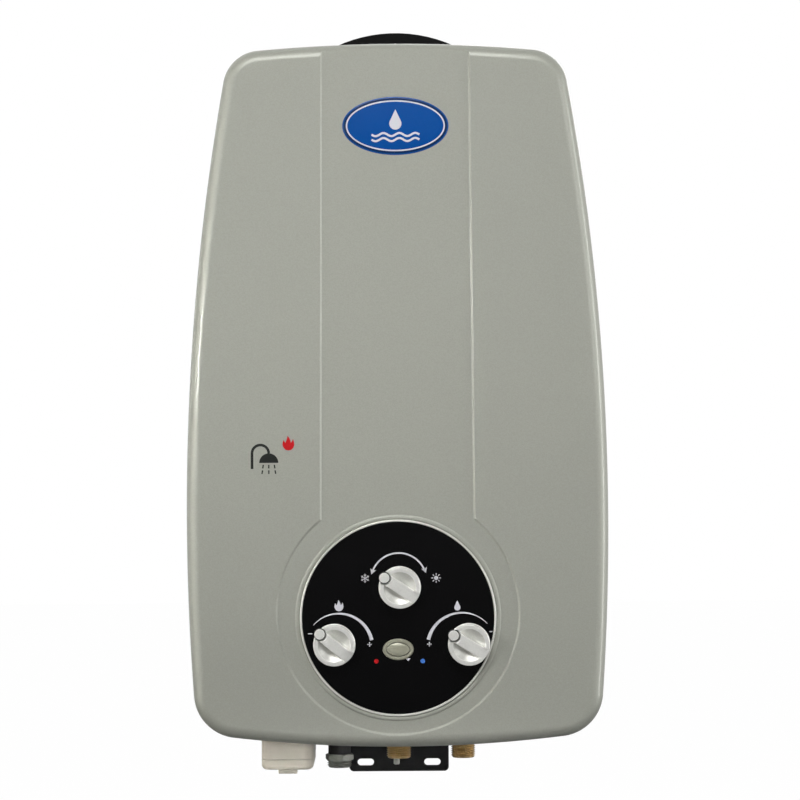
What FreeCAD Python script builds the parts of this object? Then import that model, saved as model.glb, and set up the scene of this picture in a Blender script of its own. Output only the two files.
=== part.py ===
"""Wall-hung instantaneous gas water heater, as a parametric assembly.

The frame is in millimetres with +Z up. The origin is the round eye of the hanger's keyhole, on
the wall plane: the wall is at Y = 0, the front faces -Y, and +X is right as one faces the heater.
"""

import FreeCAD, Part
import math
import os
import re

import Sketcher
from FreeCAD import Vector

doc = FreeCAD.newDocument("WaterHeater")

# ---------------------------------------------------------------- driving sizes
# Heights are above the cover's lower edge, reaches are distances from the wall, and sides are
# distances from the middle plane.

SIZES = {
    # How far a tool that cuts right through stands over.
    "overrun": 1,
    # Cover: four long arcs meet in rounded corners.
    "cover_height": 590,
    "cover_width": 354,
    "widest_height": 190,
    "flank_radius": 2090,
    "crown_radius": 1300,
    "sole_radius": 1173,
    "crown_corner": 32,
    "sole_corner": 38,
    # Rough shares of the width at which the long arcs meet, before their corners are rounded.
    "top_share": 0.4,
    "foot_share": 0.475,
    "front_reach": 150,
    "rear_reach": 3,
    "cover_wall": 1.0,
    "front_round": 11,
    # Keyhole-shaped recess pressed into the cover's face.
    "recess_depth": 1.4,
    "recess_radius": 102.2,
    "recess_height": 112.6,
    "recess_slope": 1.4,
    "band_top": 124,
    "band_foot": 130,
    # Exhaust slots in the cover's top, and the mouth under it for the connections.
    "vent_count": 17,
    "vent_pitch": 9,
    "vent_width": 3.4,
    "vent_length": 66,
    "vent_reach": 78,
    "mouth_left": 128,
    "mouth_right": 94,
    "mouth_reach": 124,
    # Back plate: a shallow tray with a hanger above and a slotted foot below.
    "plate_sheet": 1.2,
    "plate_rim": 12,
    "plate_play": 0.5,
    "hanger_rise": 9,
    "hanger_top": 17,
    "hanger_arc": 125,
    "hanger_width": 120,
    "eye_radius": 6,
    "neck_width": 6.5,
    "neck_rise": 4.5,
    "foot_width": 88,
    "foot_drop": 37.7,
    "foot_corner": 4,
    "foot_slot_drop": 29.5,
    "foot_slot_spacing": 59,
    "foot_slot_length": 14.5,
    "foot_slot_width": 6,
    # Stiffening beads pressed into the tray.
    "bead_side": 122,
    "bead_low": 222,
    "bead_high": 548,
    "bead_radius": 8,
    "bead_sink": 3,
    # Screws through the cover's flanks into the tray's rim.
    "screw_height": 60,
    "screw_reach": 7.5,
    "screw_radius": 1.9,
    "screw_head": 4,
    "screw_head_height": 2,
    "screw_length": 9,
    "screw_play": 0.1,
    "flank_slack": 0.3,
    # Round control panel.
    "panel_height": 108.8,
    "panel_radius": 80.5,
    "panel_plate": 1.6,
    "panel_edge": 0.5,
    "spigot_radius": 78,
    "spigot_depth": 4,
    "spigot_play": 0.5,
    "trim_width": 1.7,
    "trim_rise": 0.8,
    "trim_play": 0.05,
    "trim_bevel": 0.6,
    "trim_lip": 0.45,
    "surround_width": 3.9,
    "surround_rise": 1.2,
    "surround_play": 0.2,
    # Plain oval badge on the recess floor.
    "badge_height": 520.4,
    "badge_length": 89,
    "badge_width": 48.8,
    "badge_rise": 1.2,
    "badge_slope": 0.6,
    # Knobs.
    "gas_side": 53.5,
    "water_side": 59.2,
    "season_side": 1.5,
    "side_height": 86.6,
    "season_height": 134.4,
    "gas_angle": 140.5,
    "water_angle": 148,
    "season_angle": 146,
    "knob_radius": 17.7,
    "knob_taper": 0.6,
    "knob_rise": 11,
    "knob_gap": 0.8,
    "rim_width": 3.6,
    "dish_depth": 4.2,
    "grip_width": 9.2,
    "grip_rise": 2.2,
    "grip_fall": 6,
    "grip_dip": 1.5,
    "grip_arc": 42,
    "pointer_radius": 4.5,
    "pointer_side": 15.4,
    "pointer_rise": 2.4,
    "pointer_depth": 7,
    "pointer_groove": 0.8,
    "shaft_radius": 3,
    "shaft_flat": 0.7,
    "shaft_play": 0.05,
    "shaft_hole_play": 0.6,
    "shaft_depth": 7.5,
    "plug_radius": 6.5,
    "plug_reach": 88,
    # Oval push button.
    "button_height": 82.5,
    "button_length": 18.8,
    "button_width": 10.8,
    "button_play": 0.6,
    "button_rise": 2.2,
    "button_dome": 1.4,
    "dome_spread": 0.95,
    "button_travel": 3,
    "button_flange": 1.7,
    "button_flange_depth": 1.5,
    "button_stop_gap": 0.3,
    "bezel_wall": 1.4,
    "bezel_play": 0.1,
    "bezel_flange": 1.7,
    "bezel_rise": 1.5,
    "bezel_slope": 0.7,
    "switch_length": 28,
    "switch_width": 20,
    "switch_depth": 15,
    "switch_floor": 4,
    "button_spring_radius": 3,
    "button_spring_bore": 1.8,
    # Connections under the cover.
    "works_reach": 80,
    "hot_reach": 50,
    "hot_side": 55.8,
    "gas_port_side": 51,
    "thread_radius": 10.48,
    "cold_drop": 16.3,
    "hot_drop": 19.6,
    "gas_drop": 24,
    "gas_hex_top": 12.5,
    "gas_hex_depth": 5.5,
    "hex_flats": 21.6,
    "nut_flats": 24,
    "nut_depth": 10,
    "stem_radius": 8.5,
    "stem_play": 0.1,
    "stem_depth": 6,
    "sleeve_wall": 1.2,
    "floor_height": 12,
    "floor_sheet": 1.2,
    "floor_left": 124,
    "floor_right": 84,
    "floor_reach": 122,
    "floor_flange": 32,
    # Gas valve.
    "valve_rear": 62,
    "valve_front": 112,
    "boss_length": 12,
    "boss_radius": 11,
    "gas_block_half": 23,
    "gas_block_low": 48,
    "gas_block_high": 118,
    "port_radius": 13,
    "selector_half": 18,
    "selector_low": 20,
    "selector_high": 15.6,
    "rod_height": 68,
    "rod_reach": 85,
    "rod_radius": 2.5,
    "rod_play": 0.05,
    "rod_travel": 4,
    "seat_side": 48,
    "seat_depth": 4,
    "seat_radius": 6,
    "seat_gap": 0.1,
    "well_radius": 10,
    "disc_radius": 8,
    "disc_sheet": 3,
    "cap_depth": 6,
    "cap_flange": 3,
    "cap_flange_radius": 12,
    "gas_spring_radius": 5,
    "gas_spring_bore": 3.5,
    "solenoid_height": 100,
    "solenoid_radius": 12.5,
    "solenoid_length": 34,
    # Water valve.
    "drum_radius": 28,
    "drum_right": 40,
    "diaphragm_side": 22,
    "diaphragm_sheet": 1.5,
    "chamber_radius": 20,
    "chamber_wall": 4,
    "drum_wall": 6,
    "diaphragm_plate_radius": 16,
    "diaphragm_plate_sheet": 2,
    "water_block_left": 38,
    "water_block_right": 75,
    "water_block_low": 30,
    "water_block_high": 100,
    "water_block_front": 108,
    "arm_height": 26.5,
    "arm_radius": 10,
    "leg_radius": 12,
    "drain_side": 2,
    "drain_gap": 3.5,
    "drain_radius": 2.6,
    "drain_chamfer": 0.65,
    "drain_play": 1,
    "drain_drop": 24.5,
    "drain_head_radius": 4.2,
    "drain_head_top": 8,
    "drain_head_depth": 8,
    "drain_block_half": 6,
    "drain_block_top": 26,
    # Micro switch that the push rod's collar works.
    "collar_radius": 5,
    "collar_width": 3,
    "lever_side": 4,
    "lever_sheet": 1,
    "lever_width": 8,
    "lever_pivot_height": 46,
    "lever_top": 65,
    "lever_barrel": 1.5,
    "lever_gap": 0.3,
    "micro_side": 9,
    "micro_low": 48,
    "micro_high": 58,
    "micro_width": 14,
    "micro_arm": 2.3,
    # Burner.
    "fire_half": 95,
    "fire_rear": 37,
    "fire_front": 122,
    "fire_sheet": 1,
    "burner_low": 165,
    "burner_high": 250,
    "ledge_width": 6,
    "ledge_low": 171,
    "ledge_high": 176,
    "bar_count": 5,
    "bar_pitch": 33,
    "bar_width": 16,
    "bar_neck": 7,
    "bar_head": 12,
    "bar_rise": 60,
    "bar_play": 0.5,
    # Flame ports across each bar's head.
    "port_count": 14,
    "port_pitch": 5.4,
    "port_width": 1.2,
    "port_length": 7,
    "port_depth": 2.5,
    "venturi_radius": 5,
    "venturi_depth": 24,
    "manifold_half": 84,
    "manifold_rear": 126,
    "manifold_depth": 14,
    "manifold_foot_left": 20,
    "manifold_foot_right": 6,
    "manifold_foot_rear": 95,
    "injector_radius": 2.5,
    "injector_gap": 0.7,
    "electrode_side": 16.5,
    "electrode_height": 243,
    "electrode_radius": 3.5,
    "electrode_collar": 5.25,
    "electrode_play": 0.1,
    "electrode_front": 140,
    "electrode_tip": 104,
    "electrode_wire": 1,
    # Combustion chamber, heat exchanger and flue hood.
    "chamber_high": 395,
    "fin_high": 432,
    "fin_count": 16,
    "fin_sheet": 0.8,
    "tube_radius": 6,
    "tube_bore": 5.2,
    "tube_play": 0.15,
    "tube_height": 413,
    "tube_rear": 50,
    "tube_middle": 79.5,
    "tube_front": 109,
    "bend_radius": 12,
    "coil_low": 292,
    "coil_rise": 7,
    "coil_play": 0.7,
    "coil_bend": 8,
    "coil_start": 262,
    "coil_end": 398,
    "riser_jog": 18,
    "cold_turn": 134,
    "hot_step": 8,
    "hot_line": 116,
    "cold_line": 64,
    "hood_high": 578,
    "hood_half": 78,
    "hood_rear": 44,
    "hood_front": 112,
    "hood_sheet": 0.8,
    "standoff_half": 70,
    "standoff_depth": 24,
    "burner_standoff": 200,
    "fin_standoff": 402,
    "thermostat_height": 372,
    "thermostat_radius": 8,
    "thermostat_flange": 10.4,
    "thermostat_flange_depth": 2.33,
    "thermostat_depth": 7,
    # Electrics.
    "igniter_gap": 27,
    "igniter_width": 54,
    "igniter_low": 120,
    "igniter_high": 196,
    "igniter_reach": 42,
    "box_left": 116.5,
    "box_right": 72.3,
    "box_front": 118,
    "box_rear": 44,
    "box_seam": 13,
    "box_high": 46,
    "box_wall": 2,
    "box_corner": 8,
    "box_gap": 0.4,
    "lid_depth": 9,
    "lid_seam": 0.3,
    "latch_width": 16,
    "latch_drop": 4,
    "latch_depth": 6,
    "hinge_drop": 2.2,
    "hinge_rear": 2.6,
    "hinge_radius": 2.2,
    "hinge_pin": 1.1,
    "hinge_play": 0.05,
    "hinge_half": 9,
    "hinge_gap": 0.4,
    "lug_width": 6,
    "cell_radius": 16.5,
    "cell_length": 61,
    "cell_nub": 4.5,
    "cell_nub_rise": 1.5,
    "cell_gap": 0.3,
}

sheet = doc.addObject("Spreadsheet::Sheet", "Sheet")
for row, (alias, size) in enumerate(SIZES.items(), start=1):
    sheet.set(f"A{row}", str(size))
    sheet.setAlias(f"A{row}", alias)

# ---------------------------------------------------------------- derived places

PLACES = {
    # Height of the cover's lower edge and of its top in the heater's own frame.
    "base": "-(cover_height + hanger_rise)",
    "crown": "-hanger_rise",
    # Reaches of the recess floor, the panel's face and its back.
    "recess_floor": "front_reach - recess_depth",
    "panel_face": "front_reach - recess_depth + panel_plate",
    "panel_back": "front_reach - recess_depth - spigot_depth",
    "knob_back": "front_reach - recess_depth + panel_plate + knob_gap",
    "boss_front": "valve_front + boss_length",
    "floor_top": "floor_height + floor_sheet",
    "diaphragm_left": "diaphragm_side - diaphragm_sheet / 2",
    # The drum's left end leaves room for the plate's travel.
    "drum_left": "diaphragm_side - diaphragm_sheet / 2 - diaphragm_plate_sheet"
    " - rod_travel - 2 * chamber_wall",
    "gas_left": "-gas_side - gas_block_half",
    "gas_right": "-gas_side + gas_block_half",
    # Side of the cover's flank where the screws are.
    "screw_side": "cover_width / 2 - flank_radius"
    " + sqrt(flank_radius ^ 2 - (screw_height - widest_height) ^ 2)",
    # Centre line of the coil beside the chamber's walls.
    "coil_half": "fire_half + tube_radius + coil_play",
    "coil_rear": "fire_rear - tube_radius - coil_play",
    "coil_front": "fire_front + tube_radius + coil_play",
    # Where the tube's turns stand clear of the exchanger's ends.
    "tube_turn": "fire_half + bend_radius",
    "lid_low": "base - box_seam - lid_depth",
    # The drain plug stands behind the cold connection's nut.
    "drain_reach": "works_reach - nut_flats / sqrt(3) - drain_radius - drain_gap",
    # Each bar's mixing tube is in the middle of its foot, level with the manifold's injectors.
    "venturi_height": "ledge_high + bar_width / 2",
    "manifold_high": "ledge_high + bar_width / 2 + manifold_depth / 2",
    "igniter_left": "cover_width / 2 - igniter_gap",
    "igniter_right": "cover_width / 2 - igniter_gap - igniter_width",
    "box_middle": "-(box_left + box_right) / 2",
}

places = doc.addObject("App::VarSet", "Places")
HOLDERS = {name: "Sheet" for name in SIZES} | {name: "Places" for name in PLACES}


def full(formula):
    """Give each plain name in a formula the object that holds it."""

    def held(match):
        """One name with its holder before it."""
        name = match[0]
        return f"{HOLDERS[name]}.{name}" if name in HOLDERS else name

    return re.sub(r"[a-z_]+", held, str(formula))


def value(formula):
    """Work a formula out to a number."""
    return float(sheet.evalExpression(full(formula)))


def bind(item, **formulas):
    """Tie properties of an object to formulas."""
    for name, formula in formulas.items():
        item.setExpression(name, full(formula))
    return item


doc.recompute()
for name, formula in PLACES.items():
    places.addProperty("App::PropertyFloat", name, "Places")
    places.setExpression(name, full(formula))
    doc.recompute()

# ---------------------------------------------------------------- shape helpers

# Yaw, pitch and roll that turn a piece's own +Z to a direction of the frame.
TURNS = {
    "+Z": "0; 0; 0",
    "-Z": "0; 0; 180",
    "+X": "0; 90; 0",
    "-X": "0; -90; 0",
    "+Y": "0; 0; -90",
    "-Y": "0; 0; 90",
}


def place(item, spot, turn):
    """Put an object at a spot of three formulas, with a turn from TURNS or of its own."""
    x, y, z = (full(part) for part in spot)
    angles = full(TURNS.get(turn, turn))
    item.setExpression("Placement", f"placement(vector({x}; {y}; {z}); rotation({angles}))")
    return item


def block(x, y, z):
    """Box between two formulas on each axis, the lower one first."""
    box = bind(
        doc.addObject("Part::Box", "Block"),
        Length=f"({x[1]}) - ({x[0]})",
        Width=f"({y[1]}) - ({y[0]})",
        Height=f"({z[1]}) - ({z[0]})",
    )
    return place(box, (x[0], y[0], z[0]), "+Z")


def rod(spot, turn, length, radius):
    """Round bar from a spot along a direction."""
    return place(bind(doc.addObject("Part::Cylinder", "Rod"), Height=length, Radius=radius), spot, turn)


def hexagon(spot, turn, length, flats):
    """Hexagonal bar from a spot along a direction, by its width across flats."""
    bar = doc.addObject("Part::Prism", "Hexagon")
    bar.Polygon = 6
    return place(bind(bar, Height=length, Circumradius=f"({flats}) / sqrt(3)"), spot, turn)


def ellipse(spot, long_width, short_width):
    """Ellipse that faces the front."""
    ring = bind(
        doc.addObject("Part::Ellipse", "Ellipse"),
        MajorRadius=f"({long_width}) / 2",
        MinorRadius=f"({short_width}) / 2",
    )
    return place(ring, spot, "-Y")


def oval(spot, length, long_width, short_width):
    """Elliptical bar that grows towards the front from a spot."""
    bar = doc.addObject("Part::Extrusion", "Oval")
    bar.Base = ellipse(spot, long_width, short_width)
    bar.DirMode = "Custom"
    bar.Dir = Vector(0, -1, 0)
    bar.Solid = True
    return bind(bar, LengthFwd=length)


def oval_ramp(spot, length, long_width, short_width, shrink):
    """Elliptical bar whose front end is smaller all round than its rear end."""
    x, y, z = spot
    ramp = doc.addObject("Part::Loft", "Ramp")
    ramp.Sections = [
        ellipse(spot, long_width, short_width),
        ellipse(
            (x, f"{y} - ({length})", z),
            f"{long_width} - 2 * ({shrink})",
            f"{short_width} - 2 * ({shrink})",
        ),
    ]
    ramp.Solid = True
    ramp.Ruled = True
    return ramp


def joined(*items):
    """Union of several objects."""
    union = doc.addObject("Part::MultiFuse", "Joined")
    union.Shapes = list(items)
    union.Refine = True
    return union


def cut(base, *tools):
    """A base object less one or more tools."""
    result = doc.addObject("Part::Cut", "Cut")
    result.Base = base
    result.Tool = tools[0] if len(tools) == 1 else joined(*tools)
    result.Refine = True
    return result


def shared(first, second):
    """What two objects have in common."""
    result = doc.addObject("Part::Common", "Common")
    result.Base = first
    result.Tool = second
    return result


PIECES = []


def piece(label, item):
    """Name an object as one sub-part of the heater."""
    item.Label = label
    PIECES.append(item)
    return item


# ---------------------------------------------------------------- sketch helpers


def new_body(name):
    """PartDesign body."""
    return doc.addObject("PartDesign::Body", name)


def new_sketch(body, role, offset="0"):
    """Sketch on one of a body's origin planes, moved along the plane's normal."""
    sketch = body.newObject("Sketcher::SketchObject", "Sketch")
    plane = next(item for item in body.Origin.OriginFeatures if item.Role == role)
    sketch.AttachmentSupport = (plane, [""])
    sketch.MapMode = "FlatFace"
    sketch.setExpression("AttachmentOffset.Base.z", full(offset))
    return sketch


def hold(sketch, edge, point, x, y):
    """Hold one point of a sketch at two formulas."""
    for kind, formula in (("DistanceX", x), ("DistanceY", y)):
        index = sketch.addConstraint(Sketcher.Constraint(kind, -1, 1, edge, point, value(formula)))
        sketch.setExpression(f"Constraints[{index}]", full(formula))


def size_edge(sketch, edge, radius):
    """Give a round edge of a sketch its radius."""
    index = sketch.addConstraint(Sketcher.Constraint("Radius", edge, value(radius)))
    sketch.setExpression(f"Constraints[{index}]", full(radius))


def circle(sketch, x, y, radius):
    """Circle about a point of two formulas."""
    centre = Vector(value(x), value(y), 0)
    edge = sketch.addGeometry(Part.Circle(centre, Vector(0, 0, 1), value(radius)))
    size_edge(sketch, edge, radius)
    hold(sketch, edge, 3, x, y)


def bowed(start, end, radius):
    """Arc from start to end, bulging right of the way for a positive radius."""
    chord = end - start
    away = Vector(chord.y, -chord.x, 0).normalize()
    half = chord.Length / 2
    sagitta = abs(radius) - (radius * radius - half * half) ** 0.5
    return Part.Arc(start, (start + end) / 2 + away * sagitta * (1 if radius > 0 else -1), end)


def outline(sketch, corners):
    """Closed outline through corners (x, y) or (x, y, radius of the arc to the next one)."""
    spots = [Vector(value(corner[0]), value(corner[1]), 0) for corner in corners]
    edges = []
    for corner, start, end in zip(corners, spots, spots[1:] + spots[:1]):
        if len(corner) == 2:
            edges.append(sketch.addGeometry(Part.LineSegment(start, end)))
        else:
            edges.append(sketch.addGeometry(bowed(start, end, value(corner[2]))))
    for index, corner in enumerate(corners):
        edge, before = edges[index], edges[index - 1]
        start = 1 if sketch.getPoint(edge, 1).isEqual(spots[index], 1e-6) else 2
        end = 1 if sketch.getPoint(before, 1).isEqual(spots[index], 1e-6) else 2
        sketch.addConstraint(Sketcher.Constraint("Coincident", before, end, edge, start))
        hold(sketch, edge, start, corner[0], corner[1])
        if len(corner) == 3:
            size_edge(sketch, edge, f"abs({corner[2]})")


def feature(body, kind, sketch, **formulas):
    """PartDesign feature of a sketch."""
    item = body.newObject(f"PartDesign::{kind}", kind)
    item.Profile = sketch
    sketch.Visibility = False
    return bind(item, **formulas)


def revolved(profile, spot, turn):
    """Body turned about its own Z axis from a profile of (radius, height) corners."""
    body = new_body("Turned")
    sketch = new_sketch(body, "XZ_Plane")
    outline(sketch, profile)
    turned = body.newObject("PartDesign::Revolution", "Revolution")
    turned.Profile = sketch
    turned.ReferenceAxis = (sketch, ["V_Axis"])
    turned.Angle = 360
    return place(body, spot, turn)


def rounded(body, base, choose, radius, kind="Fillet"):
    """Fillet, or chamfer, of a body's edges that a test picks."""
    doc.recompute()
    names = [f"Edge{i}" for i, edge in enumerate(base.Shape.Edges, start=1) if choose(edge)]
    item = body.newObject(f"PartDesign::{kind}", kind)
    item.Base = (base, names)
    bind(item, **{"Radius" if kind == "Fillet" else "Size": radius})
    return item


def along(edge, axis):
    """Whether an edge is straight and lies along an axis."""
    ends = edge.Vertexes
    if len(ends) != 2 or edge.Curve.TypeId != "Part::GeomLine":
        return False
    way = (ends[1].Point - ends[0].Point).normalize()
    return abs(abs(way.dot(axis)) - 1) < 1e-6


# ---------------------------------------------------------------- cover and back plate


def barrel(inset, rear, front, front_round=None):
    """Closed form of the cover's outline, set in all round, between two reaches."""
    body = new_body("Barrel")
    sketch = new_sketch(body, "XZ_Plane", rear)
    flank = "flank_radius - cover_width / 2"
    arcs = [
        ("0", "crown - crown_radius", "crown_radius"),
        (flank, "base + widest_height", "flank_radius"),
        ("0", "base + sole_radius", "sole_radius"),
        (f"-({flank})", "base + widest_height", "flank_radius"),
    ]
    half_top, half_foot = value("cover_width * top_share"), value("cover_width * foot_share")
    top, foot = value("crown"), value("base")
    corners = [(half_top, top), (-half_top, top), (-half_foot, foot), (half_foot, foot)]
    for index, (x, y, radius) in enumerate(arcs):
        centre = Vector(value(x), value(y), 0)
        ways = [Vector(*corners[(index + step) % 4], 0) - centre for step in (0, 1)]
        start, end = (math.atan2(way.y, way.x) % math.tau for way in ways)
        ring = Part.Circle(centre, Vector(0, 0, 1), value(radius))
        sketch.addGeometry(Part.ArcOfCircle(ring, start, end if end > start else end + math.tau))
    for index, (x, y, radius) in enumerate(arcs):
        sketch.addConstraint(Sketcher.Constraint("Coincident", index, 2, (index + 1) % 4, 1))
        size_edge(sketch, index, f"{radius} - ({inset})")
        hold(sketch, index, 3, x, y)
    solid = feature(body, "Pad", sketch, Length=f"({front}) - ({rear})")
    middle, depth = value("base + cover_height / 2"), Vector(0, 1, 0)
    solid = rounded(
        body, solid, lambda e: along(e, depth) and e.CenterOfMass.z > middle, f"crown_corner - ({inset})"
    )
    solid = rounded(
        body, solid, lambda e: along(e, depth) and e.CenterOfMass.z < middle, f"sole_corner - ({inset})"
    )
    if front_round:
        rounded(body, solid, lambda e: abs(e.CenterOfMass.y + value(front)) < 1e-6, front_round)
    return body


def recess(body, inset, front):
    """Press the keyhole-shaped recess into a barrel's face."""
    sketch = new_sketch(body, "XZ_Plane", front)
    half_top, half_foot = f"band_top / 2 - ({inset})", f"band_foot / 2 - ({inset})"
    radius = f"recess_radius - ({inset})"
    over = "crown + 2 * crown_corner"
    join = f"base + recess_height + sqrt(({radius}) ^ 2 - ({half_foot}) ^ 2)"
    outline(
        sketch,
        [
            (f"-({half_top})", over),
            (f"-({half_foot})", join, radius),
            ("0", f"base + recess_height - ({radius})", radius),
            (half_foot, join),
            (half_top, over),
        ],
    )
    slope = "atan(recess_slope / recess_depth)"
    return feature(body, "Pocket", sketch, Length="recess_depth", TaperAngle=slope)


def cover_tools():
    """What is cut from the cover: vents, mouth, panel opening and screw holes."""
    tools = [
        block(
            ("-mouth_left", "mouth_right"),
            ("-mouth_reach", "0"),
            ("base - sole_corner", "base + sole_corner"),
        ),
        rod(("0", "0", "base + panel_height"), "-Y", "front_reach + overrun", "spigot_radius + spigot_play"),
    ]
    count = int(value("vent_count"))
    for index in range(count):
        middle = f"({index} - (vent_count - 1) / 2) * vent_pitch"
        tools.append(
            block(
                (f"{middle} - vent_width / 2", f"{middle} + vent_width / 2"),
                ("-vent_reach - vent_length / 2", "-vent_reach + vent_length / 2"),
                ("crown - crown_corner / 2", "crown + crown_corner / 2"),
            )
        )
    return tools + screw_holes()


def screw_holes():
    """Holes for the cover's screws, through both flanks."""
    spot = ("-cover_width", "-screw_reach", "base + screw_height")
    return [rod(spot, "+X", "2 * cover_width", "screw_radius + screw_play")]


def make_cover():
    """Pressed steel cover."""
    outer = barrel("0", "rear_reach", "front_reach", "front_round")
    recess(outer, "0", "front_reach")
    inner = barrel("cover_wall", "0", "front_reach - cover_wall", "front_round - cover_wall")
    recess(inner, "cover_wall", "front_reach - cover_wall")
    return piece("front_cover", cut(outer, inner, *cover_tools()))


def screw_place(side):
    """Where a cover screw starts, outside the left (-1) or right (1) flank."""
    reach = "screw_side + screw_head_height + flank_slack"
    return (f"{side} * ({reach})", "-screw_reach", "base + screw_height")


def make_cover_screw(label, side):
    """Pan-head screw that holds the cover to the tray's rim."""
    inward = "+X" if side < 0 else "-X"
    head = rod(screw_place(side), inward, "screw_head_height", "screw_head")
    shank = rod(screw_place(side), inward, "screw_length", "screw_radius")
    return piece(label, joined(head, shank))


def make_back_plate():
    """Black steel tray against the wall, with the hanger tab and the slotted foot."""
    inset = "cover_wall + plate_play"
    tray = cut(
        barrel(inset, "0", "plate_rim"),
        barrel(f"{inset} + plate_sheet", "plate_sheet", "plate_rim + overrun"),
        *screw_holes(),
    )
    hanger = new_body("Hanger")
    sketch = new_sketch(hanger, "XZ_Plane")
    half, low = "hanger_width / 2", "crown - crown_corner"
    shoulder = "hanger_top - hanger_arc + sqrt(hanger_arc ^ 2 - (hanger_width / 2) ^ 2)"
    outline(
        sketch,
        [(f"-{half}", low), (half, low), (half, shoulder, "hanger_arc"), (f"-{half}", shoulder)],
    )
    feature(hanger, "Pad", sketch, Length="plate_sheet")
    foot = new_body("Foot")
    sketch = new_sketch(foot, "XZ_Plane")
    half, low, high = "foot_width / 2", "base - foot_drop", "base + foot_width / 4"
    outline(sketch, [(f"-{half}", low), (half, low), (half, high), (f"-{half}", high)])
    pad = feature(foot, "Pad", sketch, Length="plate_sheet")
    depth, level = Vector(0, 1, 0), value("base")
    rounded(foot, pad, lambda e: along(e, depth) and e.CenterOfMass.z < level, "foot_corner")
    beads, grooves = [], []
    for side in (-1, 1):
        spot = (f"{side} * bead_side", "bead_sink", "base + bead_low")
        length = "bead_high - bead_low"
        ridge = rod(spot, "+Z", length, "bead_radius")
        reach = (f"{side} * bead_side - bead_radius", f"{side} * bead_side + bead_radius")
        level = ("base + bead_low", "base + bead_high")
        beads.append(shared(ridge, block(reach, ("-bead_radius", "-plate_sheet / 2"), level)))
        inner = (spot[0], spot[1], f"{spot[2]} + plate_sheet")
        grooves.append(rod(inner, "+Z", f"{length} - 2 * plate_sheet", "bead_radius - plate_sheet"))
    deep = "plate_sheet + overrun"
    back = ("0", "1", "0")
    holes = [
        rod(back, "-Y", f"{deep} + overrun", "eye_radius"),
        rod(("0", "overrun", "neck_rise"), "-Y", f"{deep} + overrun", "neck_width / 2"),
        block(("-neck_width / 2", "neck_width / 2"), (f"-({deep})", "1"), ("0", "neck_rise")),
    ]
    slot_height = "base - foot_slot_drop"
    for side in (-1, 1):
        middle = f"{side} * foot_slot_spacing / 2"
        reach = "(foot_slot_length - foot_slot_width) / 2"
        holes.append(
            block(
                (f"{middle} - {reach}", f"{middle} + {reach}"),
                (f"-({deep})", "1"),
                (f"{slot_height} - foot_slot_width / 2", f"{slot_height} + foot_slot_width / 2"),
            )
        )
        for end in (-1, 1):
            spot = (f"{middle} + {end} * {reach}", "1", slot_height)
            holes.append(rod(spot, "-Y", f"{deep} + overrun", "foot_slot_width / 2"))
    return piece("back_plate", cut(joined(tray, hanger, foot, *beads), *holes, *grooves))


# ---------------------------------------------------------------- control panel

KNOBS = {
    # side, height above the cover's edge, angle of the pointer
    "gas": ("-gas_side", "base + side_height", "gas_angle"),
    "water": ("water_side", "base + side_height", "water_angle"),
    "season": ("season_side", "base + season_height", "season_angle"),
}
PANEL_SPOT = ("0", "0", "base + panel_height")
BUTTON_SPOT = ("0", "base + button_height")


def make_panel():
    """Round black panel: a plate on the recess floor, and a spigot through the cover."""
    disc = revolved(
        [
            ("0", "panel_back"),
            ("spigot_radius", "panel_back"),
            ("spigot_radius", "recess_floor"),
            ("panel_radius", "recess_floor"),
            ("panel_radius", "panel_face - panel_edge"),
            ("panel_radius - panel_edge", "panel_face"),
            ("0", "panel_face"),
        ],
        PANEL_SPOT,
        "-Y",
    )
    holes = [
        rod((x, "0", z), "-Y", "front_reach * 2", "shaft_radius + shaft_hole_play")
        for x, z, angle in KNOBS.values()
    ]
    collar = "2 * (button_play + bezel_wall + bezel_play)"
    x, z = BUTTON_SPOT
    size = (f"button_length + {collar}", f"button_width + {collar}")
    holes.append(oval((x, "0", z), "front_reach * 2", *size))
    return piece("control_panel", cut(disc, *holes))


def make_trim():
    """Bright ring round the panel."""
    inner, outer = "panel_radius + trim_play", "panel_radius + trim_width"
    top = "panel_face + trim_rise"
    return piece(
        "panel_trim",
        revolved(
            [
                (inner, "recess_floor"),
                (outer, "recess_floor"),
                (outer, f"{top} - trim_bevel"),
                (f"{outer} - trim_bevel", top),
                (f"{inner} + trim_lip", top),
                (inner, f"{top} - trim_lip"),
            ],
            PANEL_SPOT,
            "-Y",
        ),
    )


def make_surround():
    """Low domed ring outside the bright one."""
    inner = "panel_radius + trim_width + surround_play"
    outer = f"{inner} + surround_width"
    bow = "surround_rise / 2 + (surround_width / 2) ^ 2 / (2 * surround_rise)"
    return piece(
        "panel_surround",
        revolved([(inner, "recess_floor"), (outer, "recess_floor", bow)], PANEL_SPOT, "-Y"),
    )


def make_bezel():
    """Oval bezel: a sloped flange on the panel and a collar through it."""
    x, z = BUTTON_SPOT
    bore = ("button_length + 2 * button_play", "button_width + 2 * button_play")
    collar = [f"{width} + 2 * bezel_wall" for width in bore]
    flange = [f"{width} + 2 * bezel_flange" for width in collar]
    whole = joined(
        oval((x, "-panel_back", z), "panel_face - panel_back", *collar),
        oval_ramp((x, "-panel_face", z), "bezel_rise", *flange, "bezel_slope"),
    )
    return piece("button_bezel", cut(whole, oval((x, "0", z), "front_reach * 2", *bore)))


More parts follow.
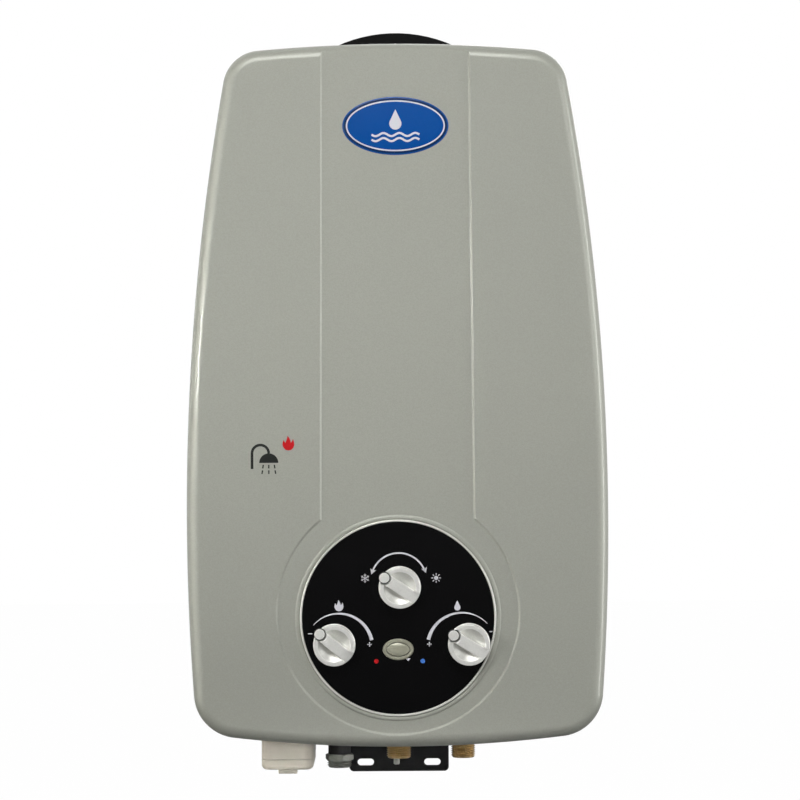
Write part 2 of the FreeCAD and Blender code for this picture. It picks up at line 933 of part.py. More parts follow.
def make_button():
    """Oval button with a domed face and a flange that stops behind the bezel."""
    x, z = BUTTON_SPOT
    size = ("button_length", "button_width")
    rear, waist = "panel_back - button_stop_gap", "panel_face - button_stop_gap"
    stem = oval((x, f"-({rear})", z), f"panel_face + button_rise - ({rear})", *size)
    root = oval((x, f"-({rear})", z), f"{waist} - ({rear})", *size)
    dome = doc.addObject("Part::Ellipsoid", "Dome")
    bind(
        dome,
        Radius1="button_dome + 2 * button_travel",
        Radius2="button_length * dome_spread",
        Radius3="button_width * dome_spread",
    )
    dome.Angle1, dome.Angle2, dome.Angle3 = -90, 90, 360
    place(dome, (x, "-(panel_face + button_rise - button_dome - 2 * button_travel)", z), "-Y")
    wide = [f"{width} + 2 * (button_play + button_flange)" for width in size]
    flange = oval((x, f"-({rear} - button_flange_depth)", z), "button_flange_depth", *wide)
    return piece("push_button", joined(root, shared(stem, dome), flange))


def make_switch():
    """Switch housing behind the button, open at the front."""
    x, z = BUTTON_SPOT
    half, tall = "switch_length / 2", "switch_width / 2"
    case = block(
        (f"{x} - {half}", f"{x} + {half}"),
        ("-panel_back", "-panel_back + switch_depth"),
        (f"{z} - {tall}", f"{z} + {tall}"),
    )
    room = "2 * (button_play + button_flange + bezel_play)"
    size = (f"button_length + {room}", f"button_width + {room}")
    hollow = oval((x, "-panel_back + switch_depth - switch_floor", z), "switch_depth", *size)
    return piece("button_switch", cut(case, hollow))


def make_button_spring():
    """Coil spring behind the button, as its envelope."""
    x, z = BUTTON_SPOT
    rear = "panel_back - switch_depth + switch_floor"
    front = "panel_back - button_stop_gap - button_flange_depth"
    ring = rod((x, f"-({rear})", z), "-Y", f"{front} - ({rear})", "button_spring_radius")
    bore = rod((x, f"-({rear})", z), "-Y", f"{front} - ({rear})", "button_spring_bore")
    return piece("button_spring", cut(ring, bore))


def make_badge():
    """Plain oval badge with sloped edges, stuck on the recess floor above the panel."""
    spot = ("0", "-recess_floor", "base + badge_height")
    plate = oval_ramp(spot, "badge_rise", "badge_length", "badge_width", "badge_slope")
    return piece("badge_plate", plate)


# ---------------------------------------------------------------- knobs and their spindles


def knob_turn(angle):
    """Turn that faces a knob to the front, with its pointer at an angle from +X."""
    return f"0; -({angle}); 90"


def d_outline(sketch, radius):
    """Outline of a round shaft with one flat, on the side away from the pointer."""
    side = f"({radius}) - shaft_flat"
    half = f"sqrt(({radius}) ^ 2 - ({side}) ^ 2)"
    outline(
        sketch,
        [
            (f"-({side})", half),
            (f"-({side})", f"-({half})", radius),
            (radius, "0", radius),
        ],
    )


def make_knob(name):
    """Dished knob with a grip bar across it and a round pointer at the bar's end."""
    x, z, angle = KNOBS[name]
    top = "knob_back + knob_rise"
    lip = "knob_radius - knob_taper - rim_width"
    bow = f"(({lip}) ^ 2 + dish_depth ^ 2) / (2 * dish_depth)"
    knob = revolved(
        [
            ("0", "knob_back"),
            ("knob_radius", "knob_back"),
            ("knob_radius - knob_taper", top),
            (lip, top, f"-({bow})"),
            ("0", f"{top} - dish_depth"),
        ],
        (x, "0", z),
        knob_turn(angle),
    )
    bar = new_sketch(knob, "XY_Plane", "knob_back + shaft_flat")
    half, radius = "grip_width / 2", "knob_radius - knob_taper"
    end = f"sqrt(({radius}) ^ 2 - ({half}) ^ 2)"
    outline(
        bar,
        [
            (f"-{end}", f"-{half}"),
            (end, f"-{half}", radius),
            (end, half),
            (f"-{end}", half, radius),
        ],
    )
    feature(knob, "Pad", bar, Length="knob_rise + grip_rise + grip_fall")
    saddle = new_sketch(knob, "XZ_Plane")
    high = f"{top} + 2 * (grip_rise + grip_fall)"
    outline(
        saddle,
        [
            ("-knob_radius", f"{top} + grip_rise - grip_fall", "-grip_arc"),
            ("knob_radius", f"{top} + grip_rise - grip_dip"),
            ("knob_radius", high),
            ("-knob_radius", high),
        ],
    )
    feature(knob, "Pocket", saddle, Length="2 * knob_radius").SideType = "Symmetric"
    groove = new_sketch(knob, "XY_Plane", high)
    circle(groove, "pointer_side", "0", "pointer_radius + pointer_groove")
    feature(knob, "Pocket", groove, Length="2 * (grip_rise + grip_fall) + pointer_depth / 2")
    pointer = new_sketch(knob, "XY_Plane", f"{top} - pointer_depth")
    circle(pointer, "pointer_side", "0", "pointer_radius")
    feature(knob, "Pad", pointer, Length="pointer_depth + pointer_rise")
    bore = new_sketch(knob, "XY_Plane", "knob_back")
    d_outline(bore, "shaft_radius + shaft_play")
    feature(knob, "Pocket", bore, Length="shaft_depth + shaft_flat").Reversed = True
    return piece(f"{name}_knob", knob)


def make_spindle(name):
    """Valve plug with the shaft that carries its knob."""
    x, z, angle = KNOBS[name]
    spindle = new_body("Spindle")
    plug = new_sketch(spindle, "XY_Plane", "plug_reach")
    circle(plug, "0", "0", "plug_radius")
    feature(spindle, "Pad", plug, Length="boss_front - plug_reach - shaft_flat")
    shaft = new_sketch(spindle, "XY_Plane", "boss_front - shaft_radius")
    d_outline(shaft, "shaft_radius")
    feature(spindle, "Pad", shaft, Length="knob_back + shaft_depth - boss_front + shaft_radius")
    return piece(f"{name}_spindle", place(spindle, (x, "0", z), knob_turn(angle)))


def spindle_bore(name):
    """Hole for a spindle's plug, open to the front."""
    x, z, angle = KNOBS[name]
    return rod((x, "-plug_reach + shaft_play", z), "-Y", "front_reach", "plug_radius + shaft_play")


def spindle_boss(name):
    """Round boss in front of a valve, that a spindle turns in."""
    x, z, angle = KNOBS[name]
    return rod((x, "-valve_front + boss_length", z), "-Y", "2 * boss_length", "boss_radius")


# ---------------------------------------------------------------- gas valve


def make_gas_valve():
    """Die-cast gas valve: main block, inlet port, and the selector block beside it."""
    main = block(
        ("gas_left", "gas_right"),
        ("-valve_front", "-valve_rear"),
        ("base + gas_block_low", "base + gas_block_high"),
    )
    selector = block(
        ("gas_right - port_radius", "selector_half"),
        ("-valve_front", "-valve_rear"),
        ("base + season_height - selector_low", "base + season_height + selector_high"),
    )
    port = rod(
        ("-gas_port_side", "-works_reach", "base + floor_top"),
        "+Z",
        "gas_block_low - floor_top + port_radius",
        "port_radius",
    )
    stem_spot = ("-gas_port_side", "-works_reach", "base")
    stem = rod(stem_spot, "+Z", "floor_top + stem_depth", "stem_radius + stem_play")
    rod_bore = rod(rod_spot("gas_right + overrun"), "-X", "gas_right + seat_side + overrun", "rod_radius + rod_play")
    seat = rod(rod_spot("-seat_side + seat_depth"), "-X", "2 * seat_depth", "seat_radius")
    well = rod(rod_spot("-seat_side"), "-X", "gas_block_half * 2", "well_radius")
    body = joined(main, selector, port, spindle_boss("gas"), spindle_boss("season"))
    return piece(
        "gas_valve_body", cut(body, stem, rod_bore, seat, well, spindle_bore("gas"), spindle_bore("season"))
    )


def rod_spot(x):
    """Point on the push rod's axis."""
    return (x, "-rod_reach", "base + rod_height")


DISC_RIGHT = "-seat_side - seat_gap"


def make_spring_cap():
    """Screwed cap that closes the gas valve's well."""
    plug = rod(rod_spot("gas_left + cap_depth"), "-X", "cap_depth", "well_radius - rod_play")
    flange = rod(rod_spot("gas_left"), "-X", "cap_flange", "cap_flange_radius")
    return piece("spring_cap", joined(plug, flange))


def make_gas_disc():
    """Sealing disc that the push rod lifts off its seat."""
    return piece("gas_valve_disc", rod(rod_spot(DISC_RIGHT), "-X", "disc_sheet", "disc_radius"))


def make_gas_spring():
    """Coil spring that closes the disc, as its envelope."""
    start = f"{DISC_RIGHT} - disc_sheet"
    length = f"{start} - (gas_left + cap_depth)"
    ring = rod(rod_spot(start), "-X", length, "gas_spring_radius")
    bore = rod(rod_spot(start), "-X", length, "gas_spring_bore")
    return piece("gas_valve_spring", cut(ring, bore))


def make_solenoid():
    """Solenoid that shuts the gas when the flame is out."""
    spot = ("gas_left", "-rod_reach", "base + solenoid_height")
    can = rod(spot, "-X", "solenoid_length", "solenoid_radius")
    neck = rod(spot, "-X", "solenoid_length + cap_flange", "solenoid_radius / 2")
    return piece("solenoid_valve", joined(can, neck))


# ---------------------------------------------------------------- water valve


def make_push_rod():
    """Rod from the diaphragm plate to the gas disc, with the collar that works the switch."""
    length = "diaphragm_left - diaphragm_plate_sheet + seat_side + seat_gap"
    bar = rod(rod_spot("-seat_side - seat_gap"), "+X", length, "rod_radius")
    collar = rod(rod_spot("-lever_side + lever_gap"), "+X", "collar_width", "collar_radius")
    return piece("push_rod", joined(bar, collar))


def make_diaphragm_plate():
    """Disc that the diaphragm presses on."""
    start = "diaphragm_left - diaphragm_plate_sheet"
    return piece(
        "diaphragm_plate", rod(rod_spot(start), "+X", "diaphragm_plate_sheet", "diaphragm_plate_radius")
    )


def make_diaphragm():
    """Rubber diaphragm, clamped at its rim."""
    return piece("diaphragm", rod(rod_spot("diaphragm_left"), "+X", "diaphragm_sheet", "drum_radius"))


def make_diaphragm_cover():
    """Left half of the diaphragm drum."""
    drum = rod(rod_spot("drum_left"), "+X", "diaphragm_left - drum_left", "drum_radius")
    room = rod(rod_spot("drum_left + chamber_wall"), "+X", "drum_right", "chamber_radius")
    bore = rod(rod_spot("drum_left - overrun"), "+X", "drum_right", "rod_radius + rod_play")
    return piece("diaphragm_cover", cut(drum, room, bore))


def make_water_valve():
    """Cast water valve: right half of the drum, flow block, inlet arm and leg, drain boss."""
    start = "diaphragm_left + diaphragm_sheet"
    drum = rod(rod_spot(start), "+X", f"drum_right - ({start})", "drum_radius")
    room = rod(rod_spot(start), "+X", f"drum_right - drum_wall - ({start})", "chamber_radius")
    main = block(
        ("water_block_left", "water_block_right"),
        ("-water_block_front", "-valve_rear"),
        ("base + water_block_low", "base + water_block_high"),
    )
    arm = rod(
        ("0", "-works_reach", "base + arm_height"), "+X", "water_block_left + arm_radius", "arm_radius"
    )
    riser = block(
        ("water_block_left", "water_block_left + 2 * arm_radius"),
        ("-works_reach - arm_radius", "-works_reach + arm_radius"),
        ("base + arm_height - arm_radius", "base + water_block_high"),
    )
    leg = rod(
        ("0", "-works_reach", "base + floor_top"), "+Z", "arm_height + arm_radius - floor_top", "leg_radius"
    )
    drain = block(
        ("-drain_side - drain_block_half", "-drain_side + drain_block_half"),
        ("-works_reach", "-drain_reach + drain_block_half"),
        ("base + floor_top", "base + drain_block_top"),
    )
    x, z, angle = KNOBS["water"]
    boss = rod((x, "-water_block_front", z), "-Y", "boss_front - water_block_front", "boss_radius")
    stem = rod(("0", "-works_reach", "base"), "+Z", "floor_top + stem_depth", "stem_radius + stem_play")
    drain_bore = rod(
        ("-drain_side", "-drain_reach", "base"), "+Z", "drain_block_top - 2", "drain_radius + shaft_play"
    )
    body = joined(drum, main, arm, riser, leg, drain, boss)
    return piece("water_valve_body", cut(body, room, stem, drain_bore, spindle_bore("water")))


def make_drain_plug():
    """Drain and relief plug that screws up into the water valve behind the cold inlet."""
    top, low = "base + drain_block_top - 3", "base - drain_drop"
    head, chamfer = "base - drain_head_top", "drain_chamfer"
    return piece(
        "drain_plug",
        revolved(
            [
                ("0", low),
                (f"drain_radius - {chamfer}", low),
                ("drain_radius", f"{low} + {chamfer}"),
                ("drain_radius", f"{head} - drain_head_depth"),
                ("drain_head_radius", f"{head} - drain_head_depth + {chamfer}"),
                ("drain_head_radius", f"{head} - {chamfer}"),
                (f"drain_head_radius - {chamfer}", head),
                ("drain_radius", head),
                ("drain_radius", top),
                ("0", top),
            ],
            ("-drain_side", "-drain_reach", "0"),
            "+Z",
        ),
    )


def make_micro_switch():
    """Micro switch on the gas valve's side, with the arm that holds its lever."""
    case = block(
        ("gas_right", "-micro_side"),
        ("-rod_reach - micro_width / 2", "-rod_reach + micro_width / 2"),
        ("base + micro_low", "base + micro_high"),
    )
    arm_top = "base + lever_pivot_height - lever_barrel - rod_play"
    arm = block(
        ("gas_right", "-lever_side + 2 * lever_sheet"),
        ("-rod_reach - micro_width / 2", "-rod_reach + micro_width / 2"),
        (f"{arm_top} - micro_arm", arm_top),
    )
    web = block(
        ("gas_right", "gas_right + 2 * micro_arm"),
        ("-rod_reach - micro_width / 2", "-rod_reach + micro_width / 2"),
        (f"{arm_top} - micro_arm", "base + micro_high"),
    )
    return piece("micro_switch", joined(case, arm, web))


def make_switch_lever():
    """Lever that the collar tips against the micro switch."""
    half = "lever_width / 2"
    strip = block(
        ("-lever_side - lever_sheet", "-lever_side"),
        (f"-rod_reach - {half}", f"-rod_reach + {half}"),
        ("base + lever_pivot_height", "base + lever_top"),
    )
    barrel_spot = ("-lever_side - lever_sheet / 2", f"-rod_reach + {half}", "base + lever_pivot_height")
    return piece("switch_lever", joined(strip, rod(barrel_spot, "-Y", "lever_width", "lever_barrel")))


# ---------------------------------------------------------------- connections and floor


def port_spot(side, reach, height):
    """Point on the axis of a connection."""
    return (side, f"-({reach})", f"base + {height}")


def make_connection(label, side, reach, drop):
    """Male connection: thread below, nut under the floor, stem up through it."""
    thread = rod(port_spot(side, reach, f"0 - {drop}"), "+Z", f"{drop} + floor_height", "thread_radius")
    nut = hexagon(port_spot(side, reach, "floor_height - nut_depth"), "+Z", "nut_depth", "nut_flats")
    stem = rod(port_spot(side, reach, "floor_height"), "+Z", "floor_sheet + stem_depth", "stem_radius")
    return piece(label, joined(thread, nut, stem))


def make_gas_inlet():
    """Grey gas connection: thread, hexagon and a long stem up through the floor."""
    spot = ("-gas_port_side", "works_reach")
    thread = rod(port_spot(*spot, "0 - gas_drop"), "+Z", "gas_drop - gas_hex_top", "thread_radius")
    nut = hexagon(port_spot(*spot, "0 - gas_hex_top - gas_hex_depth"), "+Z", "gas_hex_depth", "hex_flats")
    stem = rod(
        port_spot(*spot, "0 - gas_hex_top"), "+Z", "gas_hex_top + floor_top + stem_depth", "stem_radius"
    )
    return piece("gas_inlet", joined(thread, nut, stem))


def make_gas_sleeve():
    """Black rubber sleeve round the gas connection's stem, under the floor."""
    spot = port_spot("-gas_port_side", "works_reach", "0 - gas_hex_top")
    outer = rod(spot, "+Z", "gas_hex_top + floor_height", "stem_radius + sleeve_wall")
    inner = rod(spot, "+Z", "gas_hex_top + floor_height", "stem_radius")
    return piece("gas_sleeve", cut(outer, inner))


def make_floor():
    """Steel floor that carries the connections and hangs from the back plate."""
    plate = block(
        ("-floor_left", "floor_right"),
        ("-floor_reach", "-plate_sheet"),
        ("base + floor_height", "base + floor_top"),
    )
    flange = block(
        ("-floor_left", "floor_right"),
        ("-plate_sheet - floor_sheet", "-plate_sheet"),
        ("base + floor_height", "base + floor_height + floor_flange"),
    )
    spots = [("-gas_port_side", "works_reach"), ("0", "works_reach"), ("hot_side", "hot_reach")]
    hole = "stem_radius + stem_play"
    holes = [rod(port_spot(*spot, "0"), "+Z", "2 * floor_height", hole) for spot in spots]
    drain_spot = port_spot("-drain_side", "drain_reach", "0")
    holes.append(rod(drain_spot, "+Z", "2 * floor_height", "drain_radius + drain_play"))
    holes.append(
        block(
            ("-box_left - box_gap", "-box_right + box_gap"),
            ("-box_front - box_gap", "-box_rear + box_gap"),
            ("base", "base + 2 * floor_height"),
        )
    )
    return piece("lower_bracket", cut(joined(plate, flange), *holes))


# ---------------------------------------------------------------- pipes


def bent_path(points, radius):
    """Wire of straight runs with a tangent arc at each turn."""
    edges, start = [], points[0]
    for before, corner, after in zip(points, points[1:], points[2:]):
        back, ahead = (before - corner).normalize(), (after - corner).normalize()
        half = back.getAngle(ahead) / 2
        reach = radius / math.tan(half)
        middle = (back + ahead).normalize()
        centre = corner + middle * (radius / math.sin(half))
        entry, leave = corner + back * reach, corner + ahead * reach
        edges.append(Part.LineSegment(start, entry).toShape())
        edges.append(Part.Arc(entry, centre - middle * radius, leave).toShape())
        start = leave
    edges.append(Part.LineSegment(start, points[-1]).toShape())
    return Part.Wire(edges)


def make_tube(label, spots, bend="bend_radius"):
    """Bent copper tube through spots of three formulas each."""
    points = [Vector(*(value(part) for part in spot)) for spot in spots]
    path = bent_path(points, value(bend))
    heading = points[1] - points[0]
    skins = []
    for radius in ("tube_radius", "tube_bore"):
        ring = Part.Wire([Part.makeCircle(value(radius), points[0], heading)])
        skins.append(path.makePipeShell([ring], True, True))
    tube = doc.addObject("Part::Feature", "Tube")
    tube.Shape = skins[0].cut(skins[1])
    return piece(label, tube)


def make_cold_pipe():
    """From the water valve up to the coil."""
    low, turn, high = (f"base + {name}" for name in ("water_block_high", "cold_turn", "coil_start"))
    reach = "-tube_middle"
    return make_tube(
        "cold_pipe",
        [
            ("cold_line", reach, low),
            ("cold_line", reach, turn),
            ("coil_half", reach, turn),
            ("coil_half", reach, high),
        ],
    )


def make_coil():
    """Coil round the combustion chamber, up to the exchanger."""
    corners = [
        ("coil_half", "coil_rear"),
        ("-coil_half", "coil_rear"),
        ("-coil_half", "coil_front"),
        ("coil_half", "coil_front"),
        ("coil_half", "coil_rear"),
        ("-coil_half", "coil_rear"),
    ]
    spots = [
        ("coil_half", "-tube_middle", "base + coil_start"),
        ("coil_half", "-tube_middle", "base + coil_low"),
    ]
    for index, (x, reach) in enumerate(corners):
        spots.append((x, f"-({reach})", f"base + coil_low + {index} * coil_rise"))
    last = f"coil_low + {len(corners)} * coil_rise"
    middle = f"base + ({last} + coil_end) / 2"
    spots.append(("-coil_half", "-tube_rear", f"base + {last}"))
    spots.append(("-coil_half", "-tube_rear", f"{middle} - riser_jog / 2"))
    spots.append(("-tube_turn", "-tube_rear", f"{middle} + riser_jog / 2"))
    spots.append(("-tube_turn", "-tube_rear", "base + coil_end"))
    return make_tube("water_coil", spots, "coil_bend")


def make_exchanger_tubes():
    """Tube that runs three times through the fins."""
    high = "base + tube_height"
    return make_tube(
        "exchanger_tubes",
        [
            ("-tube_turn", "-tube_rear", "base + coil_end"),
            ("-tube_turn", "-tube_rear", high),
            ("tube_turn", "-tube_rear", high),
            ("tube_turn", "-tube_middle", high),
            ("-tube_turn", "-tube_middle", high),
            ("-tube_turn", "-tube_front", high),
            ("hot_line", "-tube_front", high),
            ("hot_line", "-tube_front", "base + coil_end"),
        ],
    )


def make_hot_pipe():
    """From the exchanger down to the hot connection."""
    turn = "base + cold_turn + hot_step"
    return make_tube(
        "hot_pipe",
        [
            ("hot_line", "-tube_front", "base + coil_end"),
            ("hot_line", "-tube_front", turn),
            ("hot_line", "-hot_reach", turn),
            ("hot_side", "-hot_reach", turn),
            ("hot_side", "-hot_reach", "base + floor_top + stem_depth"),
        ],
    )


# ---------------------------------------------------------------- burner and heat exchanger


def fire_duct(low, high):
    """Square duct of sheet that the burner, the chamber and the exchanger share."""
    outer = block(("-fire_half", "fire_half"), ("-fire_front", "-fire_rear"), (low, high))
    inner = block(
        ("-fire_half + fire_sheet", "fire_half - fire_sheet"),
        ("-fire_front + fire_sheet", "-fire_rear - fire_sheet"),
        (f"{low} - overrun", f"{high} + overrun"),
    )
    return cut(outer, inner)


def bar_side(index):
    """Side of a burner bar's middle plane."""
    return f"({index} - (bar_count - 1) / 2) * bar_pitch"


def electrode_spot(side):
    """Rear end of an electrode's wire."""
    return (f"{side} * electrode_side", "-electrode_tip", "base + electrode_height")


def make_burner_frame():
    """Stainless frame: duct walls, and two ledges that the bars stand on."""
    inner_front, inner_rear = "-fire_front + fire_sheet", "-fire_rear - fire_sheet"
    level = ("base + ledge_low", "base + ledge_high")
    width = ("-fire_half + fire_sheet", "fire_half - fire_sheet")
    ledges = [
        block(width, (inner_front, f"{inner_front} + ledge_width"), level),
        block(width, (f"{inner_rear} - ledge_width", inner_rear), level),
    ]
    frame = joined(fire_duct("base + burner_low", "base + burner_high"), *ledges)
    holes = []
    for index in range(int(value("bar_count"))):
        spot = (bar_side(index), "-fire_front - overrun", "base + venturi_height")
        holes.append(rod(spot, "+Y", "fire_sheet + 2 * overrun", "venturi_radius"))
    for side in (-1, 1):
        spot = electrode_spot(side)
        holes.append(rod(spot, "-Y", "fire_front", "electrode_radius + electrode_play"))
    return piece("burner_frame", cut(frame, *holes))


def make_burner_bar(index):
    """Burner bar: mixing tube below, neck, and a head with a row of flame ports."""
    bar = new_body("Bar")
    sketch = new_sketch(bar, "XZ_Plane", "fire_rear + fire_sheet + bar_play")
    middle, low = bar_side(index), "base + ledge_high"
    width, neck, head = "bar_width / 2", "bar_neck / 2", "bar_head / 2"
    steps = [
        (width, low),
        (width, f"{low} + bar_width"),
        (neck, f"{low} + bar_width + bar_width / 2"),
        (neck, f"{low} + bar_rise - bar_width"),
        (head, f"{low} + bar_rise - bar_width / 2"),
        (head, f"{low} + bar_rise"),
    ]
    right = [(f"{middle} + {half}", height) for half, height in steps]
    left = [(f"{middle} - {half}", height) for half, height in reversed(steps)]
    outline(sketch, right + left)
    feature(bar, "Pad", sketch, Length="fire_front - fire_rear - 2 * fire_sheet - 2 * bar_play")
    mouth = rod(
        (middle, "-fire_front + fire_sheet + bar_play + venturi_depth", "base + venturi_height"),
        "-Y",
        "2 * venturi_depth",
        "venturi_radius",
    )
    ports = []
    top = f"{low} + bar_rise"
    for step in range(int(value("port_count"))):
        reach = f"(fire_front + fire_rear) / 2 + ({step} - (port_count - 1) / 2) * port_pitch"
        ports.append(
            block(
                (f"{middle} - port_length / 2", f"{middle} + port_length / 2"),
                (f"-({reach}) - port_width / 2", f"-({reach}) + port_width / 2"),
                (f"{top} - port_depth", f"{top} + overrun"),
            )
        )
    return piece(f"burner_bar_{index + 1}", cut(bar, mouth, *ports))


def make_manifold():
    """Gas manifold in front of the burner, with its foot on the selector and one injector a bar."""
    front = "-manifold_rear - manifold_depth"
    foot_low = "base + season_height + selector_high"
    bar = block(
        ("-manifold_half", "manifold_half"),
        (front, "-manifold_rear"),
        ("base + manifold_high - manifold_depth", "base + manifold_high"),
    )
    foot = block(
        ("-manifold_foot_left", "manifold_foot_right"),
        (front, "-manifold_rear"),
        (foot_low, "base + manifold_high"),
    )
    toe = block(
        ("-manifold_foot_left", "manifold_foot_right"),
        (front, "-manifold_foot_rear"),
        (foot_low, f"{foot_low} + manifold_depth / 2"),
    )
    length = "manifold_rear - fire_front + fire_sheet - injector_gap"
    injectors = []
    for index in range(int(value("bar_count"))):
        spot = (bar_side(index), "-manifold_rear - overrun", "base + venturi_height")
        injectors.append(rod(spot, "+Y", f"{length} + overrun", "injector_radius"))
    return piece("gas_manifold", joined(bar, foot, toe, *injectors))


def make_electrode(label, side):
    """Ceramic electrode through the burner frame's front, with its wire over the bars."""
    x, y, z = electrode_spot(side)
    length = "electrode_front - fire_front + ledge_width"
    ceramic = rod((x, "-fire_front + ledge_width", z), "-Y", length, "electrode_radius")
    collar = rod((x, "-fire_front", z), "-Y", "2 * fire_sheet", "electrode_collar")
    reach = "electrode_front - electrode_tip + 2 * electrode_radius"
    wire = rod((x, y, z), "-Y", reach, "electrode_wire")
    return piece(label, joined(ceramic, collar, wire))


def make_chamber():
    """Copper combustion chamber."""
    return piece("combustion_chamber", fire_duct("base + burner_high", "base + chamber_high"))


def make_fin_pack():
    """Copper casing full of fins, with holes for the three tube runs."""
    low, high = "base + chamber_high", "base + fin_high"
    fins = []
    count = int(value("fin_count"))
    for index in range(count):
        middle = f"({index} - (fin_count - 1) / 2) * 2 * fire_half / (fin_count + 1)"
        fins.append(
            block(
                (f"{middle} - fin_sheet / 2", f"{middle} + fin_sheet / 2"),
                ("-fire_front + fire_sheet / 2", "-fire_rear - fire_sheet / 2"),
                (f"{low} + fire_sheet", f"{high} - fire_sheet"),
            )
        )
    holes = []
    for line in ("tube_rear", "tube_middle", "tube_front"):
        spot = ("-fire_half - overrun", f"-{line}", "base + tube_height")
        holes.append(rod(spot, "+X", "2 * fire_half + 2 * overrun", "tube_radius + tube_play"))
    return piece("fin_pack", cut(joined(fire_duct(low, high), *fins), *holes))


def make_hood():
    """Flue hood that narrows towards the vents."""
    hood = new_body("Hood")
    for kind, inset in (("AdditiveLoft", "0"), ("SubtractiveLoft", "hood_sheet")):
        sketches = []
        for height, half, front, rear in (
            ("base + fin_high", "fire_half", "fire_front", "fire_rear"),
            ("base + hood_high", "hood_half", "hood_front", "hood_rear"),
        ):
            sketch = new_sketch(hood, "XY_Plane", height)
            side, near, far = f"{half} - {inset}", f"-({front} - {inset})", f"-({rear} + {inset})"
            outline(sketch, [(f"-({side})", near), (side, near), (side, far), (f"-({side})", far)])
            sketches.append(sketch)
        loft = hood.newObject(f"PartDesign::{kind}", kind)
        loft.Profile = sketches[0]
        loft.Sections = [sketches[1]]
        loft.Ruled = True
    return piece("flue_hood", hood)


def make_standoff(label, low):
    """Strap bent to a ring, that holds the duct off the back plate."""
    half, level = "standoff_half", (f"base + {low}", f"base + {low} + standoff_depth")
    outer = block((f"-{half}", half), ("-fire_rear", "-plate_sheet"), level)
    inner = block(
        (f"-{half} + plate_sheet", f"{half} - plate_sheet"),
        ("-fire_rear + plate_sheet", "-2 * plate_sheet"),
        (f"{level[0]} - overrun", f"{level[1]} + overrun"),
    )
    return piece(label, cut(outer, inner))


def make_thermostat():
    """Overheat thermostat on the chamber's front wall."""
    spot = ("0", "-fire_front", "base + thermostat_height")
    flange = rod(spot, "-Y", "thermostat_flange_depth", "thermostat_flange")
    can = rod(spot, "-Y", "thermostat_depth", "thermostat_radius")
    return piece("overheat_thermostat", joined(flange, can))


# ---------------------------------------------------------------- electrics


def corner_box(x, front, rear, low, high, corner):
    """Upright box with rounded front corners."""
    body = new_body("Box")
    sketch = new_sketch(body, "XY_Plane", low)
    (left, right), near, far = x, f"-({front})", f"-({rear})"
    outline(sketch, [(left, near), (right, near), (right, far), (left, far)])
    pad = feature(body, "Pad", sketch, Length=f"({high}) - ({low})")
    up, face = Vector(0, 0, 1), value(near)
    rounded(body, pad, lambda e: along(e, up) and abs(e.CenterOfMass.y - face) < 1e-6, corner)
    return body


def make_igniter():
    """Igniter box on the back plate."""
    return piece(
        "igniter_box",
        corner_box(
            ("-igniter_left", "-igniter_right"),
            "igniter_reach",
            "plate_sheet",
            "base + igniter_low",
            "base + igniter_high",
            "box_wall",
        ),
    )


BOX_SIDES = ("-box_left", "-box_right")
HINGE_SPOT = "-box_rear + hinge_rear"
HINGE_HEIGHT = "base - box_seam - hinge_drop"


def make_battery_box():
    """Battery box, open below, with two lugs for the lid's hinge and a rim on the floor."""
    low, high = "base - box_seam", "base + box_high"
    shell = corner_box(BOX_SIDES, "box_front", "box_rear", low, high, "box_corner")
    hollow = corner_box(
        ("-box_left + box_wall", "-box_right - box_wall"),
        "box_front - box_wall",
        "box_rear + box_wall",
        f"{low} - overrun",
        f"{high} - box_wall",
        "box_corner - box_wall",
    )
    rim = block(
        ("-box_left - box_wall", "-box_right + box_wall"),
        ("-box_front - box_wall", "-box_rear + box_wall"),
        ("base + floor_top", "base + floor_top + box_wall"),
    )
    barrel_end = "hinge_half + hinge_gap"
    lugs = []
    for near in (f"box_middle + {barrel_end}", f"box_middle - ({barrel_end}) - lug_width"):
        reach = ("-box_rear", f"{HINGE_SPOT} + hinge_radius")
        level = (HINGE_HEIGHT, f"{low} + 2 * hinge_radius")
        lugs.append(block((near, f"{near} + lug_width"), reach, level))
        lugs.append(rod((near, HINGE_SPOT, HINGE_HEIGHT), "+X", "lug_width", "hinge_radius"))
    pin_spot = ("box_middle - hinge_half - lug_width", HINGE_SPOT, HINGE_HEIGHT)
    pin = rod(pin_spot, "+X", "2 * (hinge_half + lug_width)", "hinge_pin")
    return piece("battery_box", joined(cut(joined(shell, rim), hollow), *lugs, pin))


def make_battery_lid():
    """Lid with a finger latch in front and a hinge barrel behind."""
    low, high = "lid_low", "base - box_seam - lid_seam"
    shell = corner_box(BOX_SIDES, "box_front", "box_rear", low, high, "box_corner")
    hollow = corner_box(
        ("-box_left + box_wall", "-box_right - box_wall"),
        "box_front - box_wall",
        "box_rear + box_wall",
        f"{low} + box_wall",
        f"{high} + overrun",
        "box_corner - box_wall",
    )
    latch = block(
        ("box_middle - latch_width / 2", "box_middle + latch_width / 2"),
        ("-box_front + box_corner", "-box_front + box_corner + latch_depth"),
        (f"{low} - latch_drop", low),
    )
    knuckle_spot = ("box_middle - hinge_half", HINGE_SPOT, HINGE_HEIGHT)
    knuckle = rod(knuckle_spot, "+X", "2 * hinge_half", "hinge_radius")
    tongue = block(
        ("box_middle - hinge_half", "box_middle + hinge_half"),
        ("-box_rear", HINGE_SPOT),
        (f"{HINGE_HEIGHT} - hinge_radius", HINGE_HEIGHT),
    )
    bore = rod(("-box_left", HINGE_SPOT, HINGE_HEIGHT), "+X", "box_left", "hinge_pin + hinge_play")
    return piece("battery_lid", cut(joined(cut(shell, hollow), latch, knuckle, tongue), bore))


